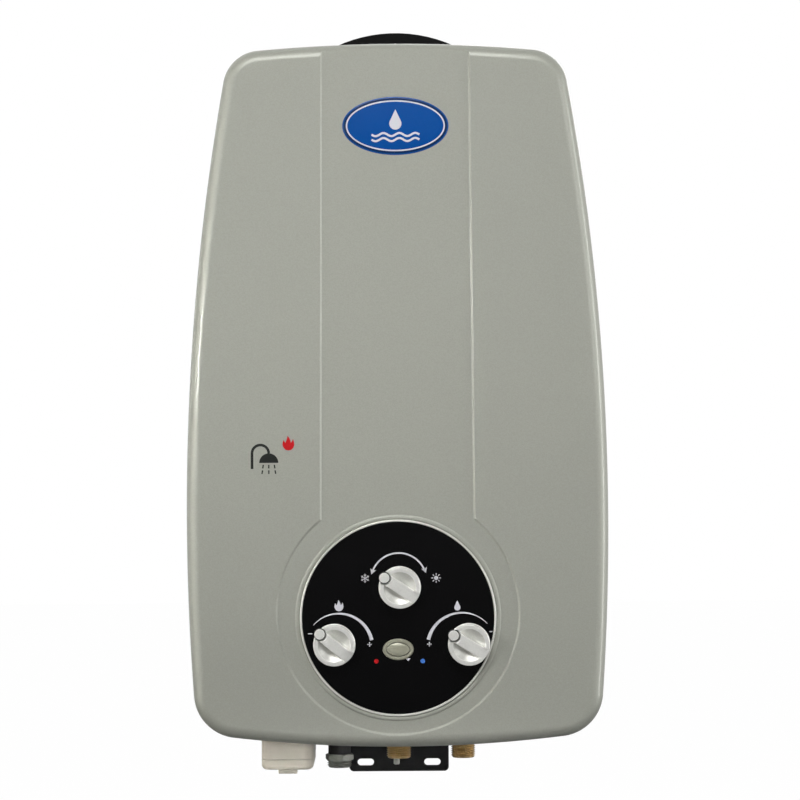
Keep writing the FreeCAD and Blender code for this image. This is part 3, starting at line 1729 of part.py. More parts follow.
def make_cell(label, order):
    """Dry cell that stands on the lid."""
    reach = f"(box_front + box_rear) / 2 + {order} * (cell_radius + cell_gap / 2)"
    spot = ("box_middle", f"-({reach})", "lid_low + box_wall + cell_gap")
    can = rod(spot, "+Z", "cell_length", "cell_radius")
    nub = rod(spot, "+Z", "cell_length + cell_nub_rise", "cell_nub")
    return piece(label, joined(can, nub))


# ---------------------------------------------------------------- the whole heater


def make_heater():
    """Make every sub-part."""
    make_back_plate()
    make_cover()
    make_cover_screw("cover_screw_left", -1)
    make_cover_screw("cover_screw_right", 1)
    make_panel()
    make_trim()
    make_surround()
    make_bezel()
    make_button()
    make_switch()
    make_button_spring()
    make_badge()
    for name in KNOBS:
        make_knob(name)
        make_spindle(name)
    make_gas_valve()
    make_spring_cap()
    make_gas_disc()
    make_gas_spring()
    make_solenoid()
    make_push_rod()
    make_diaphragm_plate()
    make_diaphragm()
    make_diaphragm_cover()
    make_water_valve()
    make_drain_plug()
    make_micro_switch()
    make_switch_lever()
    make_gas_inlet()
    make_gas_sleeve()
    make_connection("cold_inlet", "0", "works_reach", "cold_drop")
    make_connection("hot_outlet", "hot_side", "hot_reach", "hot_drop")
    make_floor()
    make_cold_pipe()
    make_coil()
    make_exchanger_tubes()
    make_hot_pipe()
    make_burner_frame()
    for index in range(int(value("bar_count"))):
        make_burner_bar(index)
    make_manifold()
    make_electrode("spark_electrode", -1)
    make_electrode("flame_electrode", 1)
    make_chamber()
    make_fin_pack()
    make_hood()
    make_standoff("burner_bracket", "burner_standoff")
    make_standoff("exchanger_bracket", "fin_standoff")
    make_thermostat()
    make_igniter()
    make_battery_box()
    make_battery_lid()
    make_cell("battery_front", 1)
    make_cell("battery_rear", -1)


def check_and_export():
    """Refuse a model with a failed object, then write each sub-part."""
    doc.recompute()
    failed = [item.Label for item in doc.Objects if {"Invalid", "Error"} & set(item.State)]
    for item in PIECES:
        if item.Shape.isNull() or not item.Shape.isValid() or not item.Shape.Solids:
            failed.append(item.Label)
    if failed:
        raise SystemExit(f"failed: {', '.join(failed)}")
    os.makedirs("parts", exist_ok=True)
    for item in PIECES:
        item.Shape.exportStep(f"parts/{item.Label}.step")


make_heater()
check_and_export()
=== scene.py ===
"""Looks of a wall-hung gas water heater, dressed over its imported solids.

The frame is the solids' own, in metres: the origin is the round eye of the hanger, the wall is
at Y = 0, the front faces -Y and +Z is up. Sizes in the classes are millimetres in that frame.
"""

import bisect
import logging
from cmath import phase, rect
from collections.abc import Callable, Iterable, Sequence
from dataclasses import dataclass
from enum import Enum
from functools import cache
from math import acos, asin, atan2, ceil, cos, degrees, hypot, pi, radians, sin, sqrt, tan, tau

import bmesh
import bpy
from mathutils import Matrix, Vector
from mathutils.geometry import delaunay_2d_cdt
from mathutils.kdtree import KDTree


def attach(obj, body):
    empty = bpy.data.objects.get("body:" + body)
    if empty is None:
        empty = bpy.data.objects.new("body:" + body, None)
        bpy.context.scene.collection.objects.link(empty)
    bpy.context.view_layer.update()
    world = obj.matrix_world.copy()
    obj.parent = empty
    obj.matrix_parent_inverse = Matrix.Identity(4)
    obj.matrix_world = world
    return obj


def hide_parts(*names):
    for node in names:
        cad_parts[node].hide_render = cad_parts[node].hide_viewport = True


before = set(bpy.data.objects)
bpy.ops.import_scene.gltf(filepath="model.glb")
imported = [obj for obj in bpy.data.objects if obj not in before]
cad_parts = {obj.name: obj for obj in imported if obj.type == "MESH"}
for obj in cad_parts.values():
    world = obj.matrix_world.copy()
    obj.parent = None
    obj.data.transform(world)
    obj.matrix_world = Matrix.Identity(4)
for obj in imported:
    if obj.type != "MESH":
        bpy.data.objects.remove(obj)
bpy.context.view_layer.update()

logging.basicConfig(level=logging.INFO, format="%(levelname)s %(message)s")
LOG = logging.getLogger("water_heater")

MM = 0.001
SMALL = 1e-6  # a length that counts as none
TINY = 1e-9  # an area that counts as none
MERGE = 1e-3  # millimetres within which a sheet's flat points merge
WELD = 1e-5  # millimetres within which a form's vertices merge
SOLVE_STEPS = 8  # rounds in which a crossing is found
ROUNDED_FROM = 30.0  # least angle of an edge that is rounded, in degrees
ROUNDING_STEPS = 2
FLAT_WITHIN = 0.5  # degrees within which a solid's facets count as one face
Colour = tuple[float, float, float]
Point = tuple[float, float, float]
Flat = tuple[float, float]
Row = tuple[float, ...]
Item = bpy.types.Object
Socket = bpy.types.NodeSocket


# ---- shader node groups


class NodeTree:
    """Short calls for building a node tree."""

    def __init__(self, tree: bpy.types.NodeTree) -> None:
        """Wrap a node tree."""
        self.tree = tree

    def add(self, kind: str, settings: dict | None = None, **inputs: object) -> bpy.types.Node:
        """Add one node.

        Args:
            kind: The node's type name, such as ``ShaderNodeMix``.
            settings: Properties of the node itself.
            **inputs: Values or output sockets by input name, with spaces as underscores.

        Returns:
            The new node.
        """
        node = self.tree.nodes.new(kind)
        for key, setting in (settings or {}).items():
            setattr(node, key, setting)
        for key, value in inputs.items():
            self.feed(node.inputs[key.replace("_", " ")], value)
        return node

    def feed(self, socket: Socket, value: object) -> None:
        """Link an output to a socket, or set the socket's value.

        Args:
            socket: The input socket.
            value: An output socket or a plain value.
        """
        if isinstance(value, Socket):
            self.tree.links.new(value, socket)
        elif value is not None:
            socket.default_value = value

    def math(self, operation: str, first: object, second: object = None) -> Socket:
        """Add a Math node.

        Args:
            operation: The node's operation.
            first: First value or socket.
            second: Second value or socket.

        Returns:
            The result's socket.
        """
        node = self.add("ShaderNodeMath", {"operation": operation})
        self.feed(node.inputs[0], first)
        self.feed(node.inputs[1], second)
        return node.outputs[0]

    def mix(self, factor: object, first: object, second: object) -> Socket:
        """Mix two colours.

        Args:
            factor: Share of the second colour.
            first: First colour or socket.
            second: Second colour or socket.

        Returns:
            The mixed colour's socket.
        """
        node = self.add("ShaderNodeMix", {"data_type": "RGBA"})
        self.feed(node.inputs[0], factor)
        for index, colour in ((6, first), (7, second)):
            plain = not isinstance(colour, Socket)
            self.feed(node.inputs[index], (*colour, 1) if plain else colour)
        return node.outputs[2]

    def blend(self, first: object, second: object, share: float) -> Socket:
        """Add a share of the first value to the rest of the second one."""
        part = self.math("MULTIPLY", first, share)
        return self.math("ADD", part, self.math("MULTIPLY", second, round(1 - share, 6)))

    def span(
        self, value: object, low: float, high: float, start: float = 0.0, end: float = 1.0
    ) -> Socket:
        """Map a value from one range to another, held at its ends.

        Args:
            value: The value's socket.
            low: Lower end of the range that goes in.
            high: Upper end of the range that goes in.
            start: What the lower end becomes.
            end: What the upper end becomes.

        Returns:
            The mapped value's socket.
        """
        node = self.add("ShaderNodeMapRange")
        for index, part in enumerate((value, low, high, start, end)):
            self.feed(node.inputs[index], part)
        return node.outputs[0]

    def noise(
        self, where: object, scale: object, detail: float = 3.0, rough: float = 0.55
    ) -> Socket:
        """Add a Noise Texture, and give its value's socket."""
        fine = {"Detail": detail, "Roughness": rough}
        return self.add("ShaderNodeTexNoise", Vector=where, Scale=scale, **fine).outputs[0]


def new_group(
    name: str, inputs: dict[str, tuple[str, object]], outputs: tuple[str, ...]
) -> tuple:
    """Start a shader node group.

    Args:
        name: The group's name.
        inputs: Socket kind and default by input name.
        outputs: Names of the outputs, which are all values.

    Returns:
        The group, its builder, its input node and its output node.
    """
    group = bpy.data.node_groups.new(name, "ShaderNodeTree")
    for label, (kind, default) in inputs.items():
        kind = f"NodeSocket{kind}"
        socket = group.interface.new_socket(label, in_out="INPUT", socket_type=kind)
        socket.default_value = default
    for label in outputs:
        group.interface.new_socket(label, in_out="OUTPUT", socket_type="NodeSocketFloat")
    build = NodeTree(group)
    return group, build, build.add("NodeGroupInput"), build.add("NodeGroupOutput")


def fresh_tree(owner: bpy.types.Material | bpy.types.World) -> NodeTree:
    """Give a material or a world an empty node tree.

    Args:
        owner: The material or the world.

    Returns:
        The tree's builder.
    """
    owner.use_nodes = True
    owner.node_tree.nodes.clear()
    return NodeTree(owner.node_tree)


class Effects:
    """The shader effects that the finishes share, each a node group that is built once."""

    DUST_FACING: Flat = (0.35, 0.95)
    DUST_PATCH: Flat = (0.35, 0.75)
    WEAR_PATCH: Flat = (0.58, 0.72)
    WEAR_LINE: Flat = (0.49, 0.5)
    WEAR_BEND = 2.5

    @staticmethod
    def flake() -> bpy.types.NodeTree:
        """Build the aluminium flake of a metallic paint, and its orange peel.

        Returns:
            The group.
        """
        group, build, given, out = new_group(
            "metal_flake",
            {"Flake Scale": ("Float", 1500.0), "Peel Scale": ("Float", 220.0)},
            ("Tone", "Height"),
        )
        where = build.add("ShaderNodeTexCoord").outputs["Object"]
        scale = given.outputs["Flake Scale"]
        cells = build.add("ShaderNodeTexVoronoi", Vector=where, Scale=scale)
        spark = build.add("ShaderNodeSeparateColor", Color=cells.outputs["Color"]).outputs[0]
        drift = build.noise(where, scale=9.0, detail=2.0)
        build.feed(out.inputs["Tone"], build.blend(spark, drift, share=0.6))
        peel = build.noise(where, given.outputs["Peel Scale"], detail=2.0, rough=0.4)
        build.feed(out.inputs["Height"], peel)
        return group

    @staticmethod
    def grain() -> bpy.types.NodeTree:
        """Build the fine grain of moulded plastic, rubber and castings.

        Returns:
            The group.
        """
        group, build, given, out = new_group(
            "fine_grain",
            {"Scale": ("Float", 900.0), "Blotch Scale": ("Float", 30.0)},
            ("Tone", "Height"),
        )
        where = build.add("ShaderNodeTexCoord").outputs["Object"]
        fine = build.noise(where, given.outputs["Scale"], rough=0.6)
        blotch = build.noise(where, given.outputs["Blotch Scale"], detail=4.0, rough=0.6)
        build.feed(out.inputs["Tone"], build.blend(fine, blotch, share=0.35))
        build.feed(out.inputs["Height"], fine)
        return group

    @staticmethod
    def brushed() -> bpy.types.NodeTree:
        """Build the drawn streaks of rolled and turned metal.

        Returns:
            The group.
        """
        group, build, given, out = new_group(
            "drawn_streaks",
            {"Scale": ("Float", 60.0), "Stretch": ("Vector", (1.0, 30.0, 30.0))},
            ("Tone", "Height"),
        )
        where = build.add("ShaderNodeTexCoord").outputs["Object"]
        drawn = build.add("ShaderNodeVectorMath", {"operation": "MULTIPLY"})
        build.feed(drawn.inputs[0], where)
        build.feed(drawn.inputs[1], given.outputs["Stretch"])
        streak = build.noise(drawn.outputs[0], given.outputs["Scale"], detail=4.0, rough=0.65)
        blotch = build.noise(where, scale=24.0)
        build.feed(out.inputs["Tone"], build.blend(streak, blotch, share=0.6))
        build.feed(out.inputs["Height"], streak)
        return group

    @staticmethod
    def dust() -> bpy.types.NodeTree:
        """Build the thin dust that settles on what faces up.

        Returns:
            The group.
        """
        group, build, given, out = new_group("settled_dust", {"Amount": ("Float", 0.3)}, ("Mask",))
        shape = build.add("ShaderNodeNewGeometry")
        up = build.add("ShaderNodeSeparateXYZ", Vector=shape.outputs["Normal"]).outputs[2]
        where = build.add("ShaderNodeTexCoord").outputs["Object"]
        lie = build.span(up, *Effects.DUST_FACING)
        patch = build.noise(where, scale=70.0, detail=5.0, rough=0.65)
        patch = build.span(patch, *Effects.DUST_PATCH)
        mask = build.math("MULTIPLY", lie, patch)
        build.feed(out.inputs["Mask"], build.math("MULTIPLY", mask, given.outputs["Amount"]))
        return group

    @staticmethod
    def wear() -> bpy.types.NodeTree:
        """Build the rubbed patches that handling leaves, as a mask of fine scuffs.

        Returns:
            The group.
        """
        group, build, given, out = new_group(
            "rubbed_scuffs", {"Scale": ("Float", 90.0), "Amount": ("Float", 0.3)}, ("Mask",)
        )
        where = build.add("ShaderNodeTexCoord").outputs["Object"]
        scale = given.outputs["Scale"]
        patch = build.noise(where, scale, detail=6.0, rough=0.7)
        patch = build.span(patch, *Effects.WEAR_PATCH)
        bend = Effects.WEAR_BEND
        scratch = build.add("ShaderNodeTexNoise", Vector=where, Distortion=bend, Scale=scale)
        line = build.span(scratch.outputs[0], *Effects.WEAR_LINE)
        mask = build.math("MULTIPLY", patch, line)
        build.feed(out.inputs["Mask"], build.math("MULTIPLY", mask, given.outputs["Amount"]))
        return group


class Texture(Enum):
    """Which shared effect gives a finish its fine structure."""

    FLAKE = "flake"
    GRAIN = "grain"
    BRUSHED = "brushed"


@cache
def effect(name: str) -> bpy.types.NodeTree:
    """Give a shared effect's node group by its name in Effects, built at its first use."""
    return getattr(Effects, name)()


# ---- finishes


@dataclass(frozen=True)
class Finish:
    """One procedural finish, with linear colours.

    The texture's tone mixes the shade into the base and runs from the first roughness to the
    second. The relief's depth is in millimetres, and worn is the colour under the scuffs.
    """

    name: str
    base: Colour
    shade: Colour
    texture: Texture = Texture.GRAIN
    values: tuple[tuple[str, object], ...] = ()
    rough: Flat = (0.4, 0.5)
    metallic: float = 0.0
    bump: float = 0.15
    relief: float = 0.05
    coat: float = 0.0
    coat_rough: float = 0.08
    dust: float = 0.0
    wear: float = 0.0
    worn: Colour = (0.5, 0.5, 0.5)
    specular: float = 0.5

    def build(self) -> bpy.types.Material:
        """Build the material.

        Returns:
            The material.
        """
        material = bpy.data.materials.new(self.name)
        build = fresh_tree(material)
        detail = build.add("ShaderNodeGroup", {"node_tree": effect(self.texture.value)})
        for label, value in self.values:
            detail.inputs[label].default_value = value
        tone = build.span(detail.outputs["Tone"], *TONE_RANGE)
        colour = build.mix(tone, self.base, self.shade)
        rough = build.span(tone, 0.0, 1.0, *self.rough)
        if self.wear:
            rubbed = build.add("ShaderNodeGroup", {"node_tree": effect("wear")}, Amount=self.wear)
            colour = build.mix(rubbed.outputs["Mask"], colour, self.worn)
        if self.dust:
            settled = build.add("ShaderNodeGroup", {"node_tree": effect("dust")}, Amount=self.dust)
            colour = build.mix(settled.outputs["Mask"], colour, DUST_COLOUR)
            rough = build.math("MAXIMUM", rough, settled.outputs["Mask"])
        relief = build.add(
            "ShaderNodeBump", Strength=self.bump, Distance=self.relief * MM,
            Height=detail.outputs["Height"],
        )
        shader = build.add(
            "ShaderNodeBsdfPrincipled", Base_Color=colour, Roughness=rough,
            Normal=relief.outputs[0], Metallic=self.metallic, Coat_Weight=self.coat,
            Coat_Roughness=self.coat_rough, Specular_IOR_Level=self.specular,
        )
        build.add("ShaderNodeOutputMaterial", Surface=shader.outputs[0])
        return material


TONE_RANGE: Flat = (0.3, 0.7)
DUST_COLOUR: Colour = (0.42, 0.40, 0.36)

COVER_PAINT = Finish(
    "cover_silver_grey", (0.350, 0.358, 0.312), (0.328, 0.336, 0.292), Texture.FLAKE,
    rough=(0.44, 0.52), metallic=0.28, bump=0.04, relief=0.03, coat=0.32, coat_rough=0.12,
    dust=0.10,
)
BLACK_POWDER = Finish(
    "black_powder_coat", (0.0045, 0.0045, 0.0047), (0.0080, 0.0080, 0.0080),
    values=(("Scale", 1400.0),), rough=(0.50, 0.62), bump=0.15, relief=0.04, dust=0.04, wear=0.12,
    worn=(0.02, 0.02, 0.018), specular=0.06,
)
PANEL_BLACK = Finish(
    "panel_piano_black", (0.0012, 0.0012, 0.0014), (0.0022, 0.0022, 0.0025),
    values=(("Scale", 500.0),), rough=(0.05, 0.09), bump=0.01, relief=0.02, coat=0.4,
    coat_rough=0.03,
)
BRIGHT_RING = Finish(
    "ring_bright_plating", (0.86, 0.86, 0.80), (0.78, 0.78, 0.73), rough=(0.26, 0.34),
    metallic=0.55, bump=0.03,
)
KNOB_PLATING = Finish(
    "knob_satin_silver", (0.95, 0.95, 0.91), (0.80, 0.80, 0.76), Texture.BRUSHED,
    values=(("Scale", 40.0), ("Stretch", (22.0, 1.0, 22.0))), rough=(0.40, 0.50), metallic=0.80,
    bump=0.03, relief=0.02,
)
# A darker, slightly glossier copy of the knob's silver; its darkness is painted shade in the dish
# beside the grip bar.
KNOB_DISH_SHADE = Finish(
    "knob_silver_painted_shade", (0.64, 0.64, 0.60), (0.50, 0.50, 0.47), Texture.BRUSHED,
    values=(("Scale", 40.0), ("Stretch", (22.0, 1.0, 22.0))), rough=(0.36, 0.46), metallic=0.80,
    bump=0.03, relief=0.02,
)
BUTTON_GREY = Finish(
    "button_warm_grey", (0.380, 0.378, 0.290), (0.345, 0.343, 0.264), rough=(0.26, 0.34),
    metallic=0.25, bump=0.05, coat=0.3,
)
MARK_WHITE = Finish(
    "printed_mark_white", (0.62, 0.62, 0.66), (0.54, 0.54, 0.58), rough=(0.42, 0.52), bump=0.05,
)
MARK_BLUE = Finish(
    "printed_mark_blue", (0.05, 0.19, 0.62), (0.04, 0.16, 0.54), rough=(0.42, 0.52), bump=0.05,
)
MARK_RED = Finish(
    "printed_mark_red", (0.50, 0.010, 0.014), (0.42, 0.008, 0.011), rough=(0.42, 0.52), bump=0.05,
    specular=0.15,
)
# Dark ink of the printed marks; the same finish paints the shade of the gap round each knob's
# pointer.
DARK_INK_AND_SHADE = Finish(
    "dark_ink_and_painted_shade", (0.010, 0.011, 0.010), (0.016, 0.017, 0.016), rough=(0.42, 0.52),
    bump=0.05, specular=0.15,
)
BADGE_ENAMEL = Finish(
    "badge_blue_enamel", (0.0010, 0.068, 0.300), (0.0009, 0.060, 0.272), rough=(0.16, 0.22),
    bump=0.02, coat=0.4, coat_rough=0.05,
)
BADGE_NAVY = Finish(
    "badge_navy_band", (0.0015, 0.022, 0.100), (0.0013, 0.019, 0.086), rough=(0.18, 0.24),
    bump=0.02, coat=0.4, coat_rough=0.05,
)
BEIGE_PLASTIC = Finish(
    "battery_box_beige", (0.680, 0.635, 0.535), (0.610, 0.565, 0.470), rough=(0.38, 0.48),
    bump=0.12, dust=0.10,
)
CAST_ZINC = Finish(
    "cast_zinc", (0.290, 0.295, 0.264), (0.180, 0.185, 0.162),
    values=(("Scale", 500.0), ("Blotch Scale", 120.0)), rough=(0.34, 0.50), metallic=0.5, bump=0.2,
)
TURNED_BRASS = Finish(
    "turned_brass", (0.700, 0.525, 0.275), (0.390, 0.285, 0.148),
    values=(("Scale", 700.0), ("Blotch Scale", 150.0)), rough=(0.26, 0.42), metallic=0.7, bump=0.08,
)
VALVE_CASTING = Finish(
    "die_cast_aluminium", (0.56, 0.56, 0.55), (0.42, 0.42, 0.41),
    values=(("Scale", 420.0), ("Blotch Scale", 60.0)), rough=(0.40, 0.55), metallic=0.85, bump=0.25,
    dust=0.2,
)
VALVE_BRASS = Finish(
    "cast_brass", (0.46, 0.34, 0.17), (0.32, 0.23, 0.11),
    values=(("Scale", 420.0), ("Blotch Scale", 70.0)), rough=(0.38, 0.52), metallic=0.95, bump=0.25,
    dust=0.2,
)
BLACK_RUBBER = Finish(
    "black_rubber", (0.014, 0.014, 0.014), (0.026, 0.026, 0.026), rough=(0.62, 0.75), bump=0.2,
)
BARE_COPPER = Finish(
    "bare_copper", (0.72, 0.30, 0.16), (0.46, 0.18, 0.10),
    values=(("Scale", 260.0), ("Blotch Scale", 26.0)), rough=(0.24, 0.42), metallic=1.0, bump=0.06,
    dust=0.1,
)
GALVANISED = Finish(
    "galvanised_sheet", (0.52, 0.54, 0.56), (0.38, 0.40, 0.42),
    values=(("Scale", 200.0), ("Blotch Scale", 90.0)), rough=(0.34, 0.48), metallic=1.0, bump=0.06,
    dust=0.2,
)
STAINLESS = Finish(
    "stainless_sheet", (0.56, 0.56, 0.55), (0.46, 0.46, 0.45), Texture.BRUSHED,
    values=(("Scale", 50.0), ("Stretch", (1.0, 26.0, 26.0))), rough=(0.26, 0.38), metallic=1.0,
    bump=0.05,
)
PLATED_STEEL = Finish(
    "plated_small_steel", (0.56, 0.56, 0.54), (0.42, 0.42, 0.40), rough=(0.24, 0.36), metallic=1.0,
    bump=0.08,
)
BLACK_PLASTIC = Finish(
    "black_moulded_plastic", (0.020, 0.020, 0.020), (0.032, 0.032, 0.032), rough=(0.42, 0.55),
    bump=0.15, dust=0.2,
)
CERAMIC = Finish(
    "glazed_ceramic", (0.78, 0.76, 0.70), (0.70, 0.68, 0.62), rough=(0.14, 0.22), bump=0.04,
    coat=0.5,
)
CELL_JACKET = Finish(
    "dry_cell_jacket", (0.10, 0.11, 0.14), (0.13, 0.14, 0.17), Texture.BRUSHED, rough=(0.26, 0.34),
    metallic=0.7, bump=0.03,
)


@cache
def material_of(finish: Finish) -> bpy.types.Material:
    """Give a finish's material, built at its first use."""
    return finish.build()


# ---- mesh helpers


def turns(steps: int, sweep: float = tau, start: float = 0.0) -> list[float]:
    """Give angles at even steps, with both ends of the sweep."""
    return [start + sweep * step / steps for step in range(steps + 1)]


def circle(radius: float, steps: int, centre: Flat = (0.0, 0.0)) -> list[Flat]:
    """Give the points of a circle that ends where it starts."""
    x, y = centre
    return [(x + radius * cos(a), y + radius * sin(a)) for a in turns(steps)]


def place_mesh(data: bpy.types.Mesh) -> Item:
    """Shade a mesh smooth, and put it into the scene as an object of its name.

    Args:
        data: The mesh.

    Returns:
        The object.
    """
    for polygon in data.polygons:
        polygon.use_smooth = True
    item = bpy.data.objects.new(data.name, data)
    bpy.context.scene.collection.objects.link(item)
    return item


def facing_front(x: float, z: float, angle: float = 0.0) -> Matrix:
    """Turn local +Z to the front (-Y) at a point of the wall, then by degrees about it."""
    turn = Matrix.Rotation(radians(90), 4, "X") @ Matrix.Rotation(radians(angle), 4, "Z")
    return Matrix.Translation((x, 0, z)) @ turn


class Form:
    """Mesh in the making, in millimetres."""

    def __init__(self) -> None:
        """Start an empty mesh."""
        self.mesh = bmesh.new()

    def ring(self, points: Iterable[Sequence[float]]) -> list[bmesh.types.BMVert]:
        """Add a row of vertices, and give them."""
        return [self.mesh.verts.new(point) for point in points]

    def bridge(self, first: list, second: list) -> None:
        """Join two closed rows of the same length with quads, or a row and a tip with triangles.

        Args:
            first: First row.
            second: Second row.
        """
        count = max(len(first), len(second))
        for index in range(count):
            after = (index + 1) % count
            if len(first) == 1:
                corners = (first[0], second[after], second[index])
            elif len(second) == 1:
                corners = (first[index], first[after], second[0])
            else:
                corners = (first[index], first[after], second[after], second[index])
            self.mesh.faces.new(corners)

    def cap(self, row: list, flip: bool = False) -> None:
        """Close a row with one face, which looks the other way if flipped."""
        self.mesh.faces.new(list(reversed(row)) if flip else row)

    def lathe(self, profile: Sequence[Flat], steps: int, place: Matrix) -> "Form":
        """Turn a profile about the local Z axis.

        Args:
            profile: Radius and height, from the rear or low end to the other.
            steps: Divisions of the circle.
            place: Where the turned form goes.

        Returns:
            This form.
        """
        rows: list[list] = []
        for radius, height in profile:
            around = circle(radius, steps)[:-1] if radius > SMALL else [(0.0, 0.0)]
            rows.append(self.ring(place @ Vector((x, y, height)) for x, y in around))
        for low, high in zip(rows, rows[1:]):
            self.bridge(low, high)
        return self

    def layers(self, rows: Sequence[Sequence[Sequence[float]]], place: Matrix) -> "Form":
        """Join closed rows of points, one over the other, and cap both ends.

        Args:
            rows: Rows of the same number of points, each anticlockwise seen from local +Z.
            place: Where the form goes.

        Returns:
            This form.
        """
        made = [self.ring(place @ Vector(point) for point in row) for row in rows]
        for low, high in zip(made, made[1:]):
            self.bridge(low, high)
        self.cap(made[0], flip=True)
        self.cap(made[-1])
        return self

    def finish(self, name: str, sharp: float = 35.0) -> Item:
        """Make the object, in metres.

        Args:
            name: The piece's name.
            sharp: Angle above which an edge stays sharp, in degrees.

        Returns:
            The object.
        """
        bmesh.ops.remove_doubles(self.mesh, verts=self.mesh.verts, dist=WELD)
        bmesh.ops.recalc_face_normals(self.mesh, faces=self.mesh.faces)
        self.mesh.transform(Matrix.Scale(MM, 4))
        data = bpy.data.meshes.new(name)
        self.mesh.to_mesh(data)
        self.mesh.free()
        item = place_mesh(data)
        data.set_sharp_from_angle(angle=radians(sharp))
        return item


Lift = Callable[[float, float], Point]


class Skin:
    """Surface in millimetres whose corner normals come from its formula, not its faces."""

    STEP = 2e-3
    INWARD = 0.05
    INWARD_SHARE = 0.25
    GRID_SHARE = 0.04
    JOIN = 4e-3

    def __init__(self) -> None:
        """Start an empty surface."""
        self.points: list[Point] = []
        self.faces: list[tuple[int, ...]] = []
        self.shades: list[tuple[Vector, ...]] = []

    def slope(self, lift: Lift, u: float, v: float) -> Vector:
        """Work out the normal over a flat point.

        Args:
            lift: The surface's formula.
            u: First flat coordinate.
            v: Second flat coordinate.

        Returns:
            The normal.
        """
        here, first, second = lift(u, v), lift(u + self.STEP, v), lift(u, v + self.STEP)
        along = Vector([b - a for a, b in zip(here, first)])
        across = Vector([b - a for a, b in zip(here, second)])
        return along.cross(across).normalized()

    def add(self, corners: Sequence[int], normals: Sequence[Vector]) -> None:
        """Add a face, turned to agree with its corners' normals.

        Args:
            corners: Vertex numbers.
            normals: One normal a corner.
        """
        a, b, c = (Vector(self.points[index]) for index in corners[:3])
        flat = (b - a).cross(c - a)
        if flat.length < TINY:
            return
        turned = flat.dot(normals[0] + normals[1] + normals[2]) < 0
        self.faces.append(tuple(reversed(corners)) if turned else tuple(corners))
        self.shades.append(tuple(reversed(normals)) if turned else tuple(normals))

    def sheet(
        self, chains: Iterable[Sequence[Flat]], keep: Callable[[float, float], bool],
        lift: Lift, side: int = 1,
    ) -> None:
        """Triangulate a flat region along chains of points, and lift it to the surface.

        Args:
            chains: Chains of flat points that the triangles keep to.
            keep: Whether the surface is there at a flat point.
            lift: The surface's formula.
            side: 1 or -1, for which side of the formula's surface faces out.
        """
        spots: list[Vector] = []
        edges: list[tuple[int, int]] = []
        for chain in chains:
            numbers = range(len(spots), len(spots) + len(chain))
            edges.extend(zip(numbers, numbers[1:]))
            spots.extend(Vector(point) for point in chain)
        flat, _, triangles, *_ = delaunay_2d_cdt(spots, edges, [], 0, MERGE)
        first = len(self.points)
        self.points.extend(lift(spot.x, spot.y) for spot in flat)
        for triangle in triangles:
            middle = sum((flat[index] for index in triangle), Vector((0, 0))) / 3
            if not keep(middle.x, middle.y):
                continue
            normals = []
            for index in triangle:
                way = middle - flat[index]
                share = min(self.INWARD_SHARE, self.INWARD / max(way.length, SMALL))
                spot = flat[index] + way * share
                normals.append(self.slope(lift, spot.x, spot.y) * side)
            self.add([first + index for index in triangle], normals)

    def grid(self, across: Sequence[float], along: Sequence[float], lift: Lift) -> None:
        """Lay a grid over the surface; its creases lie on the grid's lines.

        Args:
            across: First flat coordinates.
            along: Second flat coordinates.
            lift: The surface's formula.
        """
        first, count = len(self.points), len(across)
        self.points.extend(lift(u, v) for v in along for u in across)
        for row in range(len(along) - 1):
            for step in range(count - 1):
                spots = [(step, row), (step + 1, row), (step + 1, row + 1), (step, row + 1)]
                middle_u = (across[step] + across[step + 1]) / 2
                middle_v = (along[row] + along[row + 1]) / 2
                normals = []
                for u, v in spots:
                    inner_u = across[u] + (middle_u - across[u]) * self.GRID_SHARE
                    inner_v = along[v] + (middle_v - along[v]) * self.GRID_SHARE
                    normals.append(self.slope(lift, inner_u, inner_v))
                self.add([first + v * count + u for u, v in spots], normals)

    def weld(self) -> "Skin":
        """Merge the vertices that share a place, and drop those that no face uses.

        Returns:
            This surface.
        """
        tree = KDTree(len(self.points))
        for index, point in enumerate(self.points):
            tree.insert(point, index)
        tree.balance()
        near = (tree.find_range(point, self.JOIN) for point in self.points)
        target = [min(found[1] for found in group) for group in near]
        number: dict[int, int] = {}
        faces, shades = [], []
        for face, normals in zip(self.faces, self.shades):
            kept = [target[index] for index in face]
            pairs = [
                (index, shade) for place, (index, shade) in enumerate(zip(kept, normals))
                if index != kept[place - 1]
            ]
            if len({index for index, _ in pairs}) < 3:
                continue
            faces.append(tuple(number.setdefault(index, len(number)) for index, _ in pairs))
            shades.append(tuple(shade for _, shade in pairs))
        self.points = [self.points[index] for index in number]
        self.faces, self.shades = faces, shades
        return self

    def thicken(self, depth: float) -> "Skin":
        """Add the inner skin of a sheet, and close its open edges.

        Args:
            depth: Thickness of the sheet.

        Returns:
            This surface.
        """
        count = len(self.points)
        ways = [Vector((0, 0, 0)) for _ in range(count)]
        outer = list(zip(self.faces, self.shades))
        for face, normals in outer:
            for index, normal in zip(face, normals):
                ways[index] += normal
        for index, way in enumerate(ways):
            inner = Vector(self.points[index]) - way.normalized() * depth
            self.points.append(tuple(inner))
        for face, normals in outer:
            self.faces.append(tuple(count + index for index in reversed(face)))
            self.shades.append(tuple(-normal for normal in reversed(normals)))
        used = {edge for face, _ in outer for edge in zip(face, face[1:] + face[:1])}
        for start, end in sorted(used):
            if (end, start) not in used:
                self.flat((end, start, start + count, end + count))
        return self

    def flat(self, corners: Sequence[int]) -> None:
        """Add a face with its own flat normal.

        Args:
            corners: Vertex numbers.
        """
        a, b, c = (Vector(self.points[index]) for index in corners[:3])
        normal = (b - a).cross(c - a)
        if normal.length > TINY:
            self.faces.append(tuple(corners))
            self.shades.append((normal.normalized(),) * len(corners))

    def finish(self, name: str) -> Item:
        """Make the object, in metres.

        Args:
            name: The piece's name.

        Returns:
            The object.
        """
        data = bpy.data.meshes.new(name)
        data.from_pydata([Vector(point) * MM for point in self.points], [], self.faces)
        data.update()
        item = place_mesh(data)
        data.normals_split_custom_set([normal for normals in self.shades for normal in normals])
        return item


